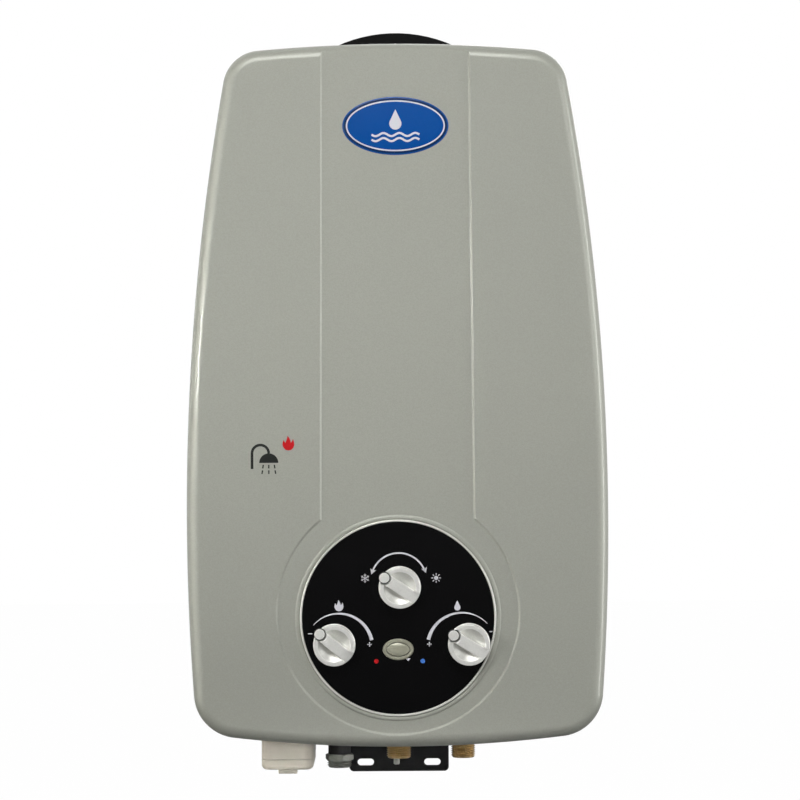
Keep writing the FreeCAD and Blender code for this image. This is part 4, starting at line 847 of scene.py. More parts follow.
def quarter(radius: float, steps: int = 5) -> list[Flat]:
    """Give a quarter round's points, each as how far in and how far below the face it lies."""
    return [(radius * (1 - cos(a)), radius * (1 - sin(a))) for a in turns(steps, pi / 2)]


def eased_min(first: float, second: float, ease: float) -> float:
    """Take the lesser of two heights, with a soft change between them."""
    return (first + second - sqrt((first - second) ** 2 + ease * ease)) / 2


class Body(Enum):
    """The bodies that the made pieces ride on."""

    CASE = "case"
    GAS = "gas_control"
    WATER = "water_control"
    SEASON = "season_control"
    BATTERY_COVER = "battery_cover"


def dress(item: Item, finish: Finish, body: Body, slot: str, *stands_for: str) -> None:
    """Give a piece its finish and its body, and hide the solids that it stands for.

    Args:
        item: The piece.
        finish: Its finish.
        body: The body that it rides on.
        slot: Not used.
        *stands_for: Solids that the piece stands for.
    """
    item.data.materials.clear()
    item.data.materials.append(material_of(finish))
    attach(item, body.value)
    if stands_for:
        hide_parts(*stands_for)
    LOG.info("piece %s on %s", item.name, body.value)


def soften(item: Item, width: float) -> None:
    """Round the sharp edges of a solid's mesh with modifiers.

    Args:
        item: The solid's object.
        width: Width of the rounding in millimetres.
    """
    weld = item.modifiers.new("weld", "WELD")
    weld.merge_threshold = SMALL
    flat = item.modifiers.new("flat", "DECIMATE")
    flat.decimate_type = "DISSOLVE"
    flat.angle_limit = radians(FLAT_WITHIN)
    bevel = item.modifiers.new("bevel", "BEVEL")
    bevel.width = width * MM
    bevel.segments = ROUNDING_STEPS
    bevel.limit_method = "ANGLE"
    bevel.angle_limit = radians(ROUNDED_FROM)
    bevel.harden_normals = False
    normals = item.modifiers.new("normals", "WEIGHTED_NORMAL")
    normals.keep_sharp = False


def dress_solid(node: str, finish: Finish, rounding: float = 0.0) -> None:
    """Give a solid that stays its finish, and round its edges.

    Args:
        node: The solid's name.
        finish: Its finish.
        rounding: Width of the edges' rounding in millimetres, or 0 for none.
    """
    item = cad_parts[node]
    item.data.materials.clear()
    item.data.materials.append(material_of(finish))
    if rounding:
        soften(item, rounding)
    LOG.info("solid %s: %s", node, finish.name)


# ---- the heater's assemblies


@dataclass(frozen=True)
class Bend:
    """One arc of the cover's outline, anticlockwise from the front, with angles in radians."""

    centre: complex
    radius: float
    start: float
    end: float

    @property
    def length(self) -> float:
        """Length of the arc."""
        return self.radius * (self.end - self.start)

    def reach(self, spot: complex) -> float | None:
        """Say how far inside the arc a point lies.

        Args:
            spot: The point.

        Returns:
            Its distance from the arc, or None outside the arc's wedge.
        """
        way = spot - self.centre
        low, high = rect(1, self.start), rect(1, self.end)
        inside = (low.conjugate() * way).imag >= 0 and (way.conjugate() * high).imag >= 0
        return self.radius - abs(way) if inside else None


@dataclass
class Outline:
    """Outline of the cover: four long arcs that meet in rounded corners."""

    crown: float = -9.0
    base: float = -599.0
    width: float = 354.0
    widest: float = -409.0
    crown_radius: float = 1300.0
    flank_radius: float = 2090.0
    sole_radius: float = 1173.0
    crown_corner: float = 32.0
    sole_corner: float = 38.0
    long_step: float = 9.0
    corner_step: float = 1.7

    def __post_init__(self) -> None:
        """Work out the arcs, and where along the outline each starts."""
        side = self.flank_radius - self.width / 2
        long = [
            (complex(-side, self.widest), self.flank_radius),
            (complex(0, self.crown - self.crown_radius), self.crown_radius),
            (complex(side, self.widest), self.flank_radius),
            (complex(0, self.base + self.sole_radius), self.sole_radius),
        ]
        crown, sole = (self.crown, self.crown_corner), (self.base, self.sole_corner)
        corners = []
        for index, (across, (high, radius)) in enumerate(
            ((1, crown), (-1, crown), (-1, sole), (1, sole))
        ):
            near = complex(across * self.width / 2, high)
            corners.append((self.meet(long[index], long[(index + 1) % 4], radius, near), radius))
        self.long: list[Bend] = []
        self.corners: list[Bend] = []
        for index, (centre, radius) in enumerate(long):
            self.long.append(self.bend(centre, radius, corners[index - 1][0], corners[index][0]))
        for index, (centre, radius) in enumerate(corners):
            before, after = self.long[index], self.long[(index + 1) % 4]
            end = after.start if after.start > before.end else after.start + tau
            self.corners.append(Bend(centre, radius, before.end, end))
        self.bends = [bend for pair in zip(self.long, self.corners) for bend in pair]
        lengths = [bend.length for bend in self.bends]
        self.starts = [sum(lengths[:index]) for index in range(len(lengths))]
        self.length = sum(lengths)

    @staticmethod
    def meet(
        first: tuple[complex, float], second: tuple[complex, float], radius: float, near: complex
    ) -> complex:
        """Find the centre of a corner that touches two arcs from inside.

        Args:
            first: Centre and radius of the first arc.
            second: Centre and radius of the second arc.
            radius: The corner's radius.
            near: A point near the corner.

        Returns:
            The corner's centre.
        """
        (start, one), (end, two) = first, second
        gap, way = abs(end - start), (end - start) / abs(end - start)
        along = ((one - radius) ** 2 - (two - radius) ** 2 + gap**2) / (2 * gap)
        rise = sqrt((one - radius) ** 2 - along**2)
        both = [start + way * complex(along, turn * rise) for turn in (1, -1)]
        return min(both, key=lambda spot: abs(spot - near))

    @staticmethod
    def bend(centre: complex, radius: float, before: complex, after: complex) -> Bend:
        """Make a long arc that ends where its corners' centres lie."""
        start, end = phase(before - centre), phase(after - centre)
        return Bend(centre, radius, start, end if end > start else end + tau)

    def at(self, along: float, inset: float = 0.0) -> complex:
        """Give a point of the outline, or of the outline set in.

        Args:
            along: Distance along the outline.
            inset: How far in.

        Returns:
            The point.
        """
        along %= self.length
        index = bisect.bisect_right(self.starts, along) - 1
        bend = self.bends[index]
        angle = bend.start + (along - self.starts[index]) / bend.radius
        return bend.centre + rect(bend.radius - inset, angle)

    def inset(self, spot: complex) -> float:
        """Say how far inside the outline a point lies.

        Args:
            spot: The point.

        Returns:
            Its distance from the outline.
        """
        for corner in self.corners:
            reach = corner.reach(spot)
            if reach is not None:
                return reach
        return min(bend.radius - abs(spot - bend.centre) for bend in self.long)

    def stations(self) -> list[float]:
        """Divide the outline.

        Returns:
            The distances along it at which it is divided, with both its ends.
        """
        marks = []
        for start, bend in zip(self.starts, self.bends):
            step = self.corner_step if bend in self.corners else self.long_step
            count = ceil(bend.length / step)
            marks.extend(start + bend.length * index / count for index in range(count))
        return marks + [self.length]

    def along(self, index: int, angle: float) -> float:
        """Give the distance along the outline of a point of one of its arcs.

        Args:
            index: The arc's number.
            angle: The point's angle about the arc's centre, in radians.

        Returns:
            The distance.
        """
        bend = self.bends[index]
        while angle < bend.start:
            angle += tau
        return self.starts[index] + bend.radius * (angle - bend.start)

    def along_crown(self, x: float) -> float:
        """Give the distance along the outline of a point of the crown."""
        return self.along(2, acos(x / self.crown_radius))

    def along_sole(self, x: float) -> float:
        """Give the distance along the outline of a point of the sole."""
        return self.along(6, -acos(x / self.sole_radius))

    def along_flank(self, z: float, right: bool) -> float:
        """Give the distance along the outline of a point of a flank."""
        turn = asin((z - self.widest) / self.flank_radius)
        return self.along(0, turn) if right else self.along(4, pi - turn)


@dataclass
class Recess:
    """Keyhole pressed into the cover's face, with soft bends at its edge and its foot."""

    centre: float = -486.4
    radius: float = 102.2
    band_top: float = 62.0
    band_foot: float = 65.0
    over: float = 55.0
    depth: float = 1.4
    bend: float = 1.3
    bend_steps: int = 4

    def __post_init__(self) -> None:
        """Work out where the band meets the circle, and the tilt of the band's sides."""
        self.join = self.centre + sqrt(self.radius**2 - self.band_foot**2)
        way = complex(self.band_foot - self.band_top, self.join - self.over)
        self.tilt = way / abs(way)

    def reach(self, x: float, z: float) -> float:
        """Say how far outside the keyhole's edge a point lies.

        Args:
            x: Its side.
            z: Its height.

        Returns:
            The distance, below 0 inside the keyhole.
        """
        ring = hypot(x, z - self.centre) - self.radius
        if z < self.centre:
            return ring
        side = (self.band_foot - abs(x)) * self.tilt.imag + (z - self.join) * self.tilt.real
        return min(ring, side)

    def edge_fall(self, reach: float) -> float:
        """Give the depth in the outer half of the slope.

        Args:
            reach: Distance outside the keyhole's edge.

        Returns:
            The depth.
        """
        start = self.bend * tan(pi / 8)
        if reach >= start:
            return 0.0
        across = start - reach
        if across < self.bend * sin(pi / 4):
            return self.bend - sqrt(self.bend**2 - across**2)
        return -reach

    def fall(self, reach: float) -> float:
        """Give the depth of the recess.

        Args:
            reach: Distance outside the keyhole's edge.

        Returns:
            The depth.
        """
        if reach > -self.depth / 2:
            return self.edge_fall(reach)
        return self.depth - self.edge_fall(-self.depth - reach)

    def levels(self) -> list[float]:
        """Divide the slope.

        Returns:
            The distances from the keyhole's edge at which the slope is divided.
        """
        start = self.bend * tan(pi / 8)
        upper = [start - self.bend * sin(turn) for turn in turns(self.bend_steps, pi / 4)]
        return upper + [-self.depth - level for level in reversed(upper)]

    def side_x(self, reach: float, z: float) -> float:
        """Give the right side's place at a height, set out by a distance."""
        return self.band_foot - (reach - (z - self.join) * self.tilt.real) / self.tilt.imag

    def corner(self, reach: float) -> Flat:
        """Find where the band's side meets the circle, both set out by a distance.

        Args:
            reach: The distance.

        Returns:
            The point.
        """
        z = self.join
        for _ in range(SOLVE_STEPS):
            x = self.side_x(reach, z)
            z = self.centre + sqrt((self.radius + reach) ** 2 - x * x)
        return self.side_x(reach, z), z


@dataclass
class Cabinet:
    """The pressed cover, its screws, and the tray on the wall."""

    outline: Outline
    recess: Recess
    front: float = 150.0
    rear: float = 3.0
    round_radius: float = 11.0
    wall: float = 1.0
    split_turn: float = 30.0
    round_limit: float = 0.9999
    shallow_turns: Row = (38, 46, 54)
    steep_turns: Row = (68, 75, 82, 90)
    panel_height: float = -490.2
    hole_radius: float = 78.5
    hole_steps: int = 180
    side_steps: int = 14
    arc_steps: int = 130
    split_steps: int = 3
    vent_count: int = 17
    vent_pitch: float = 9.0
    vent_width: float = 3.4
    vent_length: float = 66.0
    vent_reach: float = 78.0
    mouth_left: float = -128.0
    mouth_right: float = 94.0
    mouth_reach: float = 124.0
    screw_height: float = -539.0
    screw_reach: float = 7.5
    screw_hole: float = 2.0
    screw_steps: int = 24

    def face_fall(self, x: float, z: float) -> float:
        """Say how far behind the cover's face its surface lies.

        Args:
            x: Side.
            z: Height.

        Returns:
            The depth.
        """
        radius, rounding = self.round_radius, 0.0
        inset = self.outline.inset(complex(x, z))
        if inset < radius:
            across = min(radius - inset, radius * self.round_limit)
            rounding = radius - sqrt(radius**2 - across**2)
        return max(rounding, self.recess.fall(self.recess.reach(x, z)))

    def crease(self, reach: float) -> Flat:
        """Find where the recess runs out into the rounding of the crown.

        Args:
            reach: Distance outside the keyhole's edge.

        Returns:
            The point.
        """
        radius, fall = self.round_radius, self.recess.fall(reach)
        inset = radius - sqrt(radius**2 - (radius - fall) ** 2)
        bend, z = self.outline.long[1], self.outline.crown - inset
        for _ in range(SOLVE_STEPS):
            x = self.recess.side_x(reach, z)
            z = bend.centre.imag + sqrt((bend.radius - inset) ** 2 - x * x)
        return self.recess.side_x(reach, z), z

    def face_chains(self, stations: Sequence[float]) -> list[list[Flat]]:
        """Give the lines that the face's triangles keep to.

        Args:
            stations: Distances at which the outline is divided.

        Returns:
            Chains of flat points.
        """
        recess, chains = self.recess, []
        floor_turn = degrees(asin(1 - recess.depth / self.round_radius))
        for turn in (self.split_turn, *self.shallow_turns, floor_turn, *self.steep_turns):
            inset = self.round_radius * (1 - cos(radians(turn)))
            ring = [self.outline.at(along, inset) for along in stations]
            chains.append([(spot.real, spot.imag) for spot in ring])
        creases = []
        for reach in recess.levels():
            top, corner = self.crease(reach), recess.corner(reach)
            creases.append(top)
            heights = turns(self.side_steps, corner[1] - top[1], top[1])[:-1]
            side = [(recess.side_x(reach, z), z) for z in heights]
            radius = recess.radius + reach
            start = atan2(corner[1] - recess.centre, corner[0])
            around = turns(self.arc_steps, -(start + pi / 2), start)
            arc = [(radius * cos(a), recess.centre + radius * sin(a)) for a in around]
            chains.append([top] + side[1:] + arc)
            chains.append([(-x, z) for x, z in chains[-1]])
        chains += [creases, [(-x, z) for x, z in creases]]
        chains.append(circle(self.hole_radius, self.hole_steps, (0.0, self.panel_height)))
        return chains

    def side_chains(self, stations: Sequence[float], rows: Sequence[float]) -> list[list[Flat]]:
        """Give the lines that the unrolled side's triangles keep to.

        Args:
            stations: Distances at which the outline is divided.
            rows: Depths at which the side is divided.

        Returns:
            Chains of flat points.
        """
        outline, rear = self.outline, -self.rear
        chains = [[(along, row) for along in stations] for row in rows]
        chains += [[(along, rear), (along, rows[-1])] for along in stations]
        for index in range(self.vent_count):
            middle = (index - (self.vent_count - 1) / 2) * self.vent_pitch
            edges = (middle + way * self.vent_width / 2 for way in (-1, 1))
            left, right = (outline.along_crown(x) for x in edges)
            low, high = (-self.vent_reach + way * self.vent_length / 2 for way in (-1, 1))
            chains.append([(left, low), (right, low), (right, high), (left, high), (left, low)])
        left, right = (outline.along_sole(x) for x in (self.mouth_left, self.mouth_right))
        mouth = -self.mouth_reach
        chains.append([(left, rear), (left, mouth), (right, mouth), (right, rear)])
        for centre in self.screw_places():
            chains.append(circle(self.screw_hole, self.screw_steps, centre))
        return chains

    def screw_places(self) -> list[Flat]:
        """Give the screws' places on the unrolled side."""
        height, reach = self.screw_height, -self.screw_reach
        return [(self.outline.along_flank(height, right), reach) for right in (True, False)]

    def on_side(self, along: float, reach: float) -> bool:
        """Say whether the side is there, beside the screws' holes, the mouth and the vents.

        Args:
            along: Distance along the outline.
            reach: Depth, below 0.

        Returns:
            Whether it is there.
        """
        for spot, deep in self.screw_places():
            if hypot(along - spot, reach - deep) < self.screw_hole:
                return False
        outline, spot = self.outline, self.outline.at(along)
        if spot.imag < outline.base + outline.sole_corner and reach > -self.mouth_reach:
            return not self.mouth_left < spot.real < self.mouth_right
        if spot.imag < outline.crown - outline.crown_corner / 2:
            return True
        slot = spot.real / self.vent_pitch + (self.vent_count - 1) / 2
        near = abs(slot - round(slot)) * self.vent_pitch < self.vent_width / 2
        deep = abs(reach + self.vent_reach) < self.vent_length / 2
        return not (near and deep and 0 <= round(slot) < self.vent_count)

    def cover(self) -> Item:
        """Make the pressed cover as one bent sheet.

        Returns:
            The piece.
        """
        radius, stations = self.round_radius, self.outline.stations()
        split = radius * radians(self.split_turn)
        edge = radius - self.front
        first_inset = radius * (1 - cos(radians(self.split_turn)))

        def face(x: float, z: float) -> Point:
            """Lift a point to the face."""
            return (x, self.face_fall(x, z) - self.front, z)

        def on_face(x: float, z: float) -> bool:
            """Say whether the face is there."""
            clear = hypot(x, z - self.panel_height) > self.hole_radius
            return clear and self.outline.inset(complex(x, z)) > first_inset - MERGE

        def side(along: float, reach: float) -> Point:
            """Wrap a point of the unrolled side, with the start of the rounding, round the outline.

            Args:
                along: Distance along the outline.
                reach: Depth, below 0.

            Returns:
                The point.
            """
            turn = max(edge - reach, 0.0) / radius
            spot = self.outline.at(along, radius * (1 - cos(turn)))
            deep = reach if reach > edge else edge - radius * sin(turn)
            return (spot.real, deep, spot.imag)

        parts = range(1, self.split_steps + 1)
        rows = [-self.rear, edge] + [edge - split * part / self.split_steps for part in parts]
        skin = Skin()
        skin.sheet(self.face_chains(stations), on_face, face)
        skin.sheet(self.side_chains(stations, rows), self.on_side, side, -1)
        return skin.weld().thicken(self.wall).finish("cover_shell")

    def build(self) -> None:
        """Make the cover, and dress the tray and the screws."""
        dress(self.cover(), COVER_PAINT, Body.CASE, "cover_paint", "front_cover")
        dress_solid("back_plate", BLACK_POWDER)
        for side in ("left", "right"):
            dress_solid(f"cover_screw_{side}", PLATED_STEEL)


@dataclass
class Knob:
    """Dished knob with a grip bar across it and a round pointer; heights are from its back."""

    name: str
    body: Body
    spot: Flat
    angle: float
    back: float = 151.0
    rise: float = 11.0
    radius: float = 17.7
    taper: float = 0.6
    rim: float = 3.6
    dish: float = 4.2
    grip_half: float = 4.6
    grip_arc: float = 42.0
    grip_low: float = 7.2
    grip_high: float = 11.7
    grip_wall: float = 0.3
    edge: float = 0.5
    edge_limit: float = 0.98
    rim_ease: float = 0.22
    pointer: float = 15.4
    pointer_radius: float = 4.3
    pointer_rise: float = 2.4
    pointer_edge: float = 0.45
    pointer_sink: float = 0.6
    groove: float = 1.0
    groove_floor: float = 7.5
    groove_slope: float = 12
    # Dark ring round the pointer: painted shade, standing in for the shadowed gap in the groove.
    shade_ring: float = 0.55
    shade_ring_drop: float = 0.5
    shade_ring_sink: float = 0.3
    bore: float = 3.1
    bore_depth: float = 8.25
    dish_margin: float = 0.1
    dish_least: float = 1.0
    steps: int = 144
    stud_steps: int = 64
    line_step: float = 0.45
    bar_shifts: Row = (-1.0, -0.5, -0.4, -0.25, -0.1, 0.0, 0.15, 0.3, 0.5, 0.8, 1.4)
    bar_lines: Row = (-2.0, 0.0, 2.0)
    dish_rings: Row = (3, 6, 8.5, 10.5, 12, 13.2)
    lip_shifts: Row = (-0.6, -0.3, -0.1, 0.1, 0.3, 0.7)
    groove_shifts: Row = (0, 0.12, 0.3, 0.5)
    rim_parts: Row = (0, 0.25, 0.5, 0.75, 1, 2)

    @property
    def lip(self) -> float:
        """Radius at which the dish starts."""
        return self.radius - self.taper - self.rim

    def point(self, u: float, v: float, height: float) -> Point:
        """Turn local coordinates into the heater's, in full precision.

        Args:
            u: Distance along the pointer.
            v: Distance across it.
            height: Height over the knob's back.

        Returns:
            The point.
        """
        turn = radians(self.angle)
        x = u * cos(turn) - v * sin(turn)
        z = u * sin(turn) + v * cos(turn)
        return (self.spot[0] + x, -self.back - height, self.spot[1] + z)

    def grip(self, u: float, v: float) -> float:
        """Work out the grip bar's arched top, with its rounded edges.

        Args:
            u: Distance along the pointer.
            v: Distance across it.

        Returns:
            Its height.
        """
        rise, arc = self.grip_high - self.grip_low, self.grip_arc
        sag = arc - sqrt(arc**2 - hypot(2 * self.radius, rise) ** 2 / 4)
        line = self.grip_low + rise * (u + self.radius) / (2 * self.radius)
        drop = arc - sqrt(arc**2 - u * u)
        over = max(abs(v) - (self.grip_half - self.edge), 0.0)
        across = min(over, self.edge * self.edge_limit)
        return line + sag - drop - self.edge + sqrt(self.edge**2 - across**2)

    def height(self, u: float, v: float) -> float:
        """Work out the knob's face: dish, rim, grip bar and the groove round the pointer.

        Args:
            u: Distance along the pointer.
            v: Distance across it.

        Returns:
            Its height.
        """
        bowl = (self.lip**2 + self.dish**2) / (2 * self.dish)
        distance = hypot(u, v)
        dished = self.rise - self.dish + bowl - sqrt(bowl**2 - distance**2)
        face, grip = eased_min(self.rise, dished, self.rim_ease), self.grip(u, v)
        part = min(max((abs(v) - self.grip_half) / self.grip_wall, 0.0), 1.0)
        face = grip + (face - grip) * part * part * (3 - 2 * part)
        away = hypot(u - self.pointer, v) - self.pointer_radius - self.groove
        return min(face, self.groove_floor + max(away, 0.0) * self.groove_slope)

    def shade_dish(self, cap: Item) -> None:
        """Paint shade into the dish beside the grip bar, with a darker, slightly glossier copy of
        the knob's silver.

        Args:
            cap: The knob's cap.
        """
        cap.data.materials.append(material_of(KNOB_DISH_SHADE))
        turn = rect(1.0, -radians(self.angle))
        for face in cap.data.polygons:
            spot = face.center / MM
            local = complex(spot.x - self.spot[0], spot.z - self.spot[1]) * turn
            beside = abs(local.imag) > self.grip_half + self.grip_wall
            inside = abs(local) < self.lip - self.dish_margin and beside
            if inside and -spot.y > self.back + self.dish_least:
                face.material_index = 1

    def face_chains(self, top_radius: float) -> list[list[Flat]]:
        """Give the lines that the face's triangles keep to.

        Args:
            top_radius: Radius of the face.

        Returns:
            Chains of flat points.
        """
        chains: list[list[Flat]] = []
        beside = [way * (self.grip_half + shift) for way in (-1, 1) for shift in self.bar_shifts]
        for v in (*beside, *self.bar_lines):
            reach = sqrt(top_radius**2 - v * v)
            line = turns(int(reach / self.line_step), 2 * reach, -reach)
            chains.append([(u, v) for u in line])
        lips = (self.lip + shift for shift in self.lip_shifts)
        chains += [circle(ring, self.steps) for ring in (*self.dish_rings, *lips, top_radius)]
        clear, centre = self.pointer_radius + self.groove, (self.pointer, 0.0)
        chains += [circle(clear + shift, self.steps, centre) for shift in self.groove_shifts]
        return chains

    def cap(self) -> Item:
        """Make the knob's cap, bored from behind for its spindle.

        Returns:
            The piece.
        """
        top_radius = self.radius - self.taper - self.edge
        around = turns(self.steps)

        def face(u: float, v: float) -> Point:
            """Lift a point to the knob's face."""
            return self.point(u, v, self.height(u, v))

        def side(turn: float, part: float) -> Point:
            """Lift a point to the rounded rim or to the side.

            Args:
                turn: Angle about the knob's axis, in radians.
                part: 0 to 1 on the rim, 1 to 2 on the side.

            Returns:
                The point.
            """
            u, v = cos(turn), sin(turn)
            top = self.height(top_radius * u, top_radius * v)
            if part <= 1:
                bend = pi / 2 * part
                reach = top_radius + self.edge * sin(bend)
                return self.point(reach * u, reach * v, top - self.edge * (1 - cos(bend)))
            foot = 2 - part
            reach = self.radius - self.taper * foot
            return self.point(reach * u, reach * v, (top - self.edge) * foot)

        def on_face(u: float, v: float) -> bool:
            """Say whether the face is there."""
            return hypot(u, v) < top_radius

        skin = Skin()
        skin.sheet(self.face_chains(top_radius), on_face, face, -1)
        skin.grid(around, self.rim_parts, side)
        first, count = len(skin.points), self.steps
        for radius, high in ((self.radius, 0.0), (self.bore, 0.0), (self.bore, self.bore_depth)):
            skin.points.extend(self.point(u, v, high) for u, v in circle(radius, count)[:-1])
        for level in range(2):
            for step in range(count):
                low, after = first + level * count, (step + 1) % count
                skin.flat((low + step, low + count + step, low + count + after, low + after))
        skin.flat([first + 2 * count + step for step in range(count)][::-1])
        return skin.weld().finish(f"{self.name}_knob_cap")

    def build(self) -> None:
        """Make the knob, its pointer and the dark ring round the pointer, which paints the shade in
        the groove there.
        """
        cap, slot = self.cap(), "knob_silver"
        dress(cap, KNOB_PLATING, self.body, slot, f"{self.name}_knob")
        # Painted shade: the dish beside the grip bar takes the darker copy of the silver.
        self.shade_dish(cap)
        place = facing_front(*self.spot, self.angle)
        place = place @ Matrix.Translation((self.pointer, 0, self.back))
        high, radius = self.rise + self.pointer_rise, self.pointer_radius
        foot = self.groove_floor - self.pointer_sink
        profile = [(0.0, foot), (radius, foot)]
        profile += [(radius - inward, high - below) for inward, below in quarter(self.pointer_edge)]
        profile += [(radius / 2, high), (0.0, high)]
        stud = Form().lathe(profile, self.stud_steps, place)
        stud = stud.finish(f"{self.name}_knob_pointer", sharp=50)
        dress(stud, KNOB_PLATING, self.body, slot)
        # Painted shade: a dark ring fills the groove round the pointer.
        low, top = self.groove_floor - self.shade_ring_sink, self.rise - self.shade_ring_drop
        outer = radius + self.shade_ring
        profile = [(radius, low), (outer, low), (outer, top), (radius, top)]
        shade_ring = Form().lathe(profile, self.stud_steps, place)
        dress(shade_ring.finish(f"{self.name}_knob_shade_ring"), DARK_INK_AND_SHADE, self.body, "black_plastic")


class Stencil:
    """Flat marks printed on one plane that faces the front; points are side + height * 1j."""

    SINK = 0.02
    ARC_STEPS = 40
    DISC_STEPS = 32
    BARB = 0.55
    NOTCH = 0.72
    DROP_ROUND, DROP_LOW, DROP_STEPS = 0.3, 0.2, 20
    ARM_WIDTH, BRANCH_AT = 0.09, 0.55
    TWIG, TWIG_TURN, TWIG_WIDTH = 0.16, 50, 0.075
    SUN_DISC, RAY_START, RAY_WIDTH = 0.22, 0.62, 0.085
    FLAME = (
        (0.0, -0.5), (0.2, -0.45), (0.34, -0.3), (0.4, -0.1), (0.37, 0.08), (0.31, 0.28),
        (0.23, 0.1), (0.16, 0.02), (0.13, 0.18), (0.06, 0.34), (-0.05, 0.5), (-0.09, 0.32),
        (-0.14, 0.17), (-0.2, 0.02), (-0.27, 0.1), (-0.32, 0.22), (-0.38, 0.05), (-0.4, -0.12),
        (-0.33, -0.3), (-0.2, -0.45),
    )

    def __init__(self, face: float, thick: float = 0.05) -> None:
        """Start marks of an ink's thickness on a plane at a distance from the wall."""
        self.face, self.thick = face, thick
        self.form = Form()

    def shape(self, points: Sequence[complex]) -> None:
        """Add one filled outline.

        Args:
            points: The outline, anticlockwise.
        """
        depths = (self.SINK - self.face, -self.face - self.thick)
        rows = [[(spot.real, depth, spot.imag) for spot in points] for depth in depths]
        self.form.layers(rows, Matrix.Identity(4))

    def stroke(self, points: Sequence[complex], widths: Sequence[float]) -> None:
        """Add a line.

        Args:
            points: Its middle line.
            widths: Its width at each point.
        """
        left, right = [], []
        for index, spot in enumerate(points):
            before, after = points[max(index - 1, 0)], points[min(index + 1, len(points) - 1)]
            across = (after - before) / abs(after - before) * 1j * widths[index] / 2
            left.append(spot + across)
            right.append(spot - across)
        self.shape(right + left[::-1])

    def line(self, start: complex, end: complex, width: float) -> None:
        """Add a straight line of one width."""
        self.stroke([start, end], [width, width])

    def arc(self, centre: complex, radius: float, sweep: Flat, widths: Flat) -> None:
        """Add an arc whose width changes along it.

        Args:
            centre: Its centre.
            radius: Its radius.
            sweep: Angles at its start and its end, in degrees.
            widths: Widths at its start and its end.
        """
        parts = turns(self.ARC_STEPS, 1.0)
        angles = [radians(sweep[0] + (sweep[1] - sweep[0]) * part) for part in parts]
        wide = [widths[0] + (widths[1] - widths[0]) * part for part in parts]
        self.stroke([centre + rect(radius, angle) for angle in angles], wide)

    def disc(self, centre: complex, radius: float) -> None:
        """Add a disc."""
        self.shape([centre + rect(radius, angle) for angle in turns(self.DISC_STEPS)[:-1]])

    def arrow(self, tip: complex, angle: float, size: float) -> None:
        """Add an arrowhead that points along an angle in degrees."""
        way, barb = rect(size, radians(angle)), self.BARB * 1j
        self.shape([tip, tip - way + way * barb, tip - way * self.NOTCH, tip - way - way * barb])

    def drop(self, centre: complex, size: float) -> None:
        """Add a water drop.

        Args:
            centre: Its centre.
            size: Its height.
        """
        radius, low = size * self.DROP_ROUND, centre - complex(0, size * self.DROP_LOW)
        around = turns(self.DROP_STEPS, sweep=240, start=150)
        points = [low + rect(radius, radians(angle)) for angle in around]
        self.shape(points + [centre + complex(0, size / 2)])

    def flame(self, centre: complex, size: float) -> None:
        """Add a flame."""
        self.shape([centre + complex(x, y) * size for x, y in self.FLAME])

    def snowflake(self, centre: complex, size: float) -> None:
        """Add a snowflake of six branched arms.

        Args:
            centre: Its centre.
            size: Its width.
        """
        for arm in range(6):
            way = rect(size / 2, radians(90 + 60 * arm))
            self.line(centre, centre + way, size * self.ARM_WIDTH)
            branch = centre + way * self.BRANCH_AT
            for turn in (-self.TWIG_TURN, self.TWIG_TURN):
                twig = rect(size * self.TWIG, phase(way) + radians(turn))
                self.line(branch, branch + twig, size * self.TWIG_WIDTH)

    def sun(self, centre: complex, size: float) -> None:
        """Add a sun with eight rays.

        Args:
            centre: Its centre.
            size: Its width.
        """
        self.disc(centre, size * self.SUN_DISC)
        for ray in range(8):
            way = rect(size / 2, radians(45 * ray))
            self.line(centre + way * self.RAY_START, centre + way, size * self.RAY_WIDTH)

    def finish(self, name: str, finish: Finish, slot: str) -> None:
        """Make the printed piece and dress it."""
        dress(self.form.finish(name), finish, Body.CASE, slot)


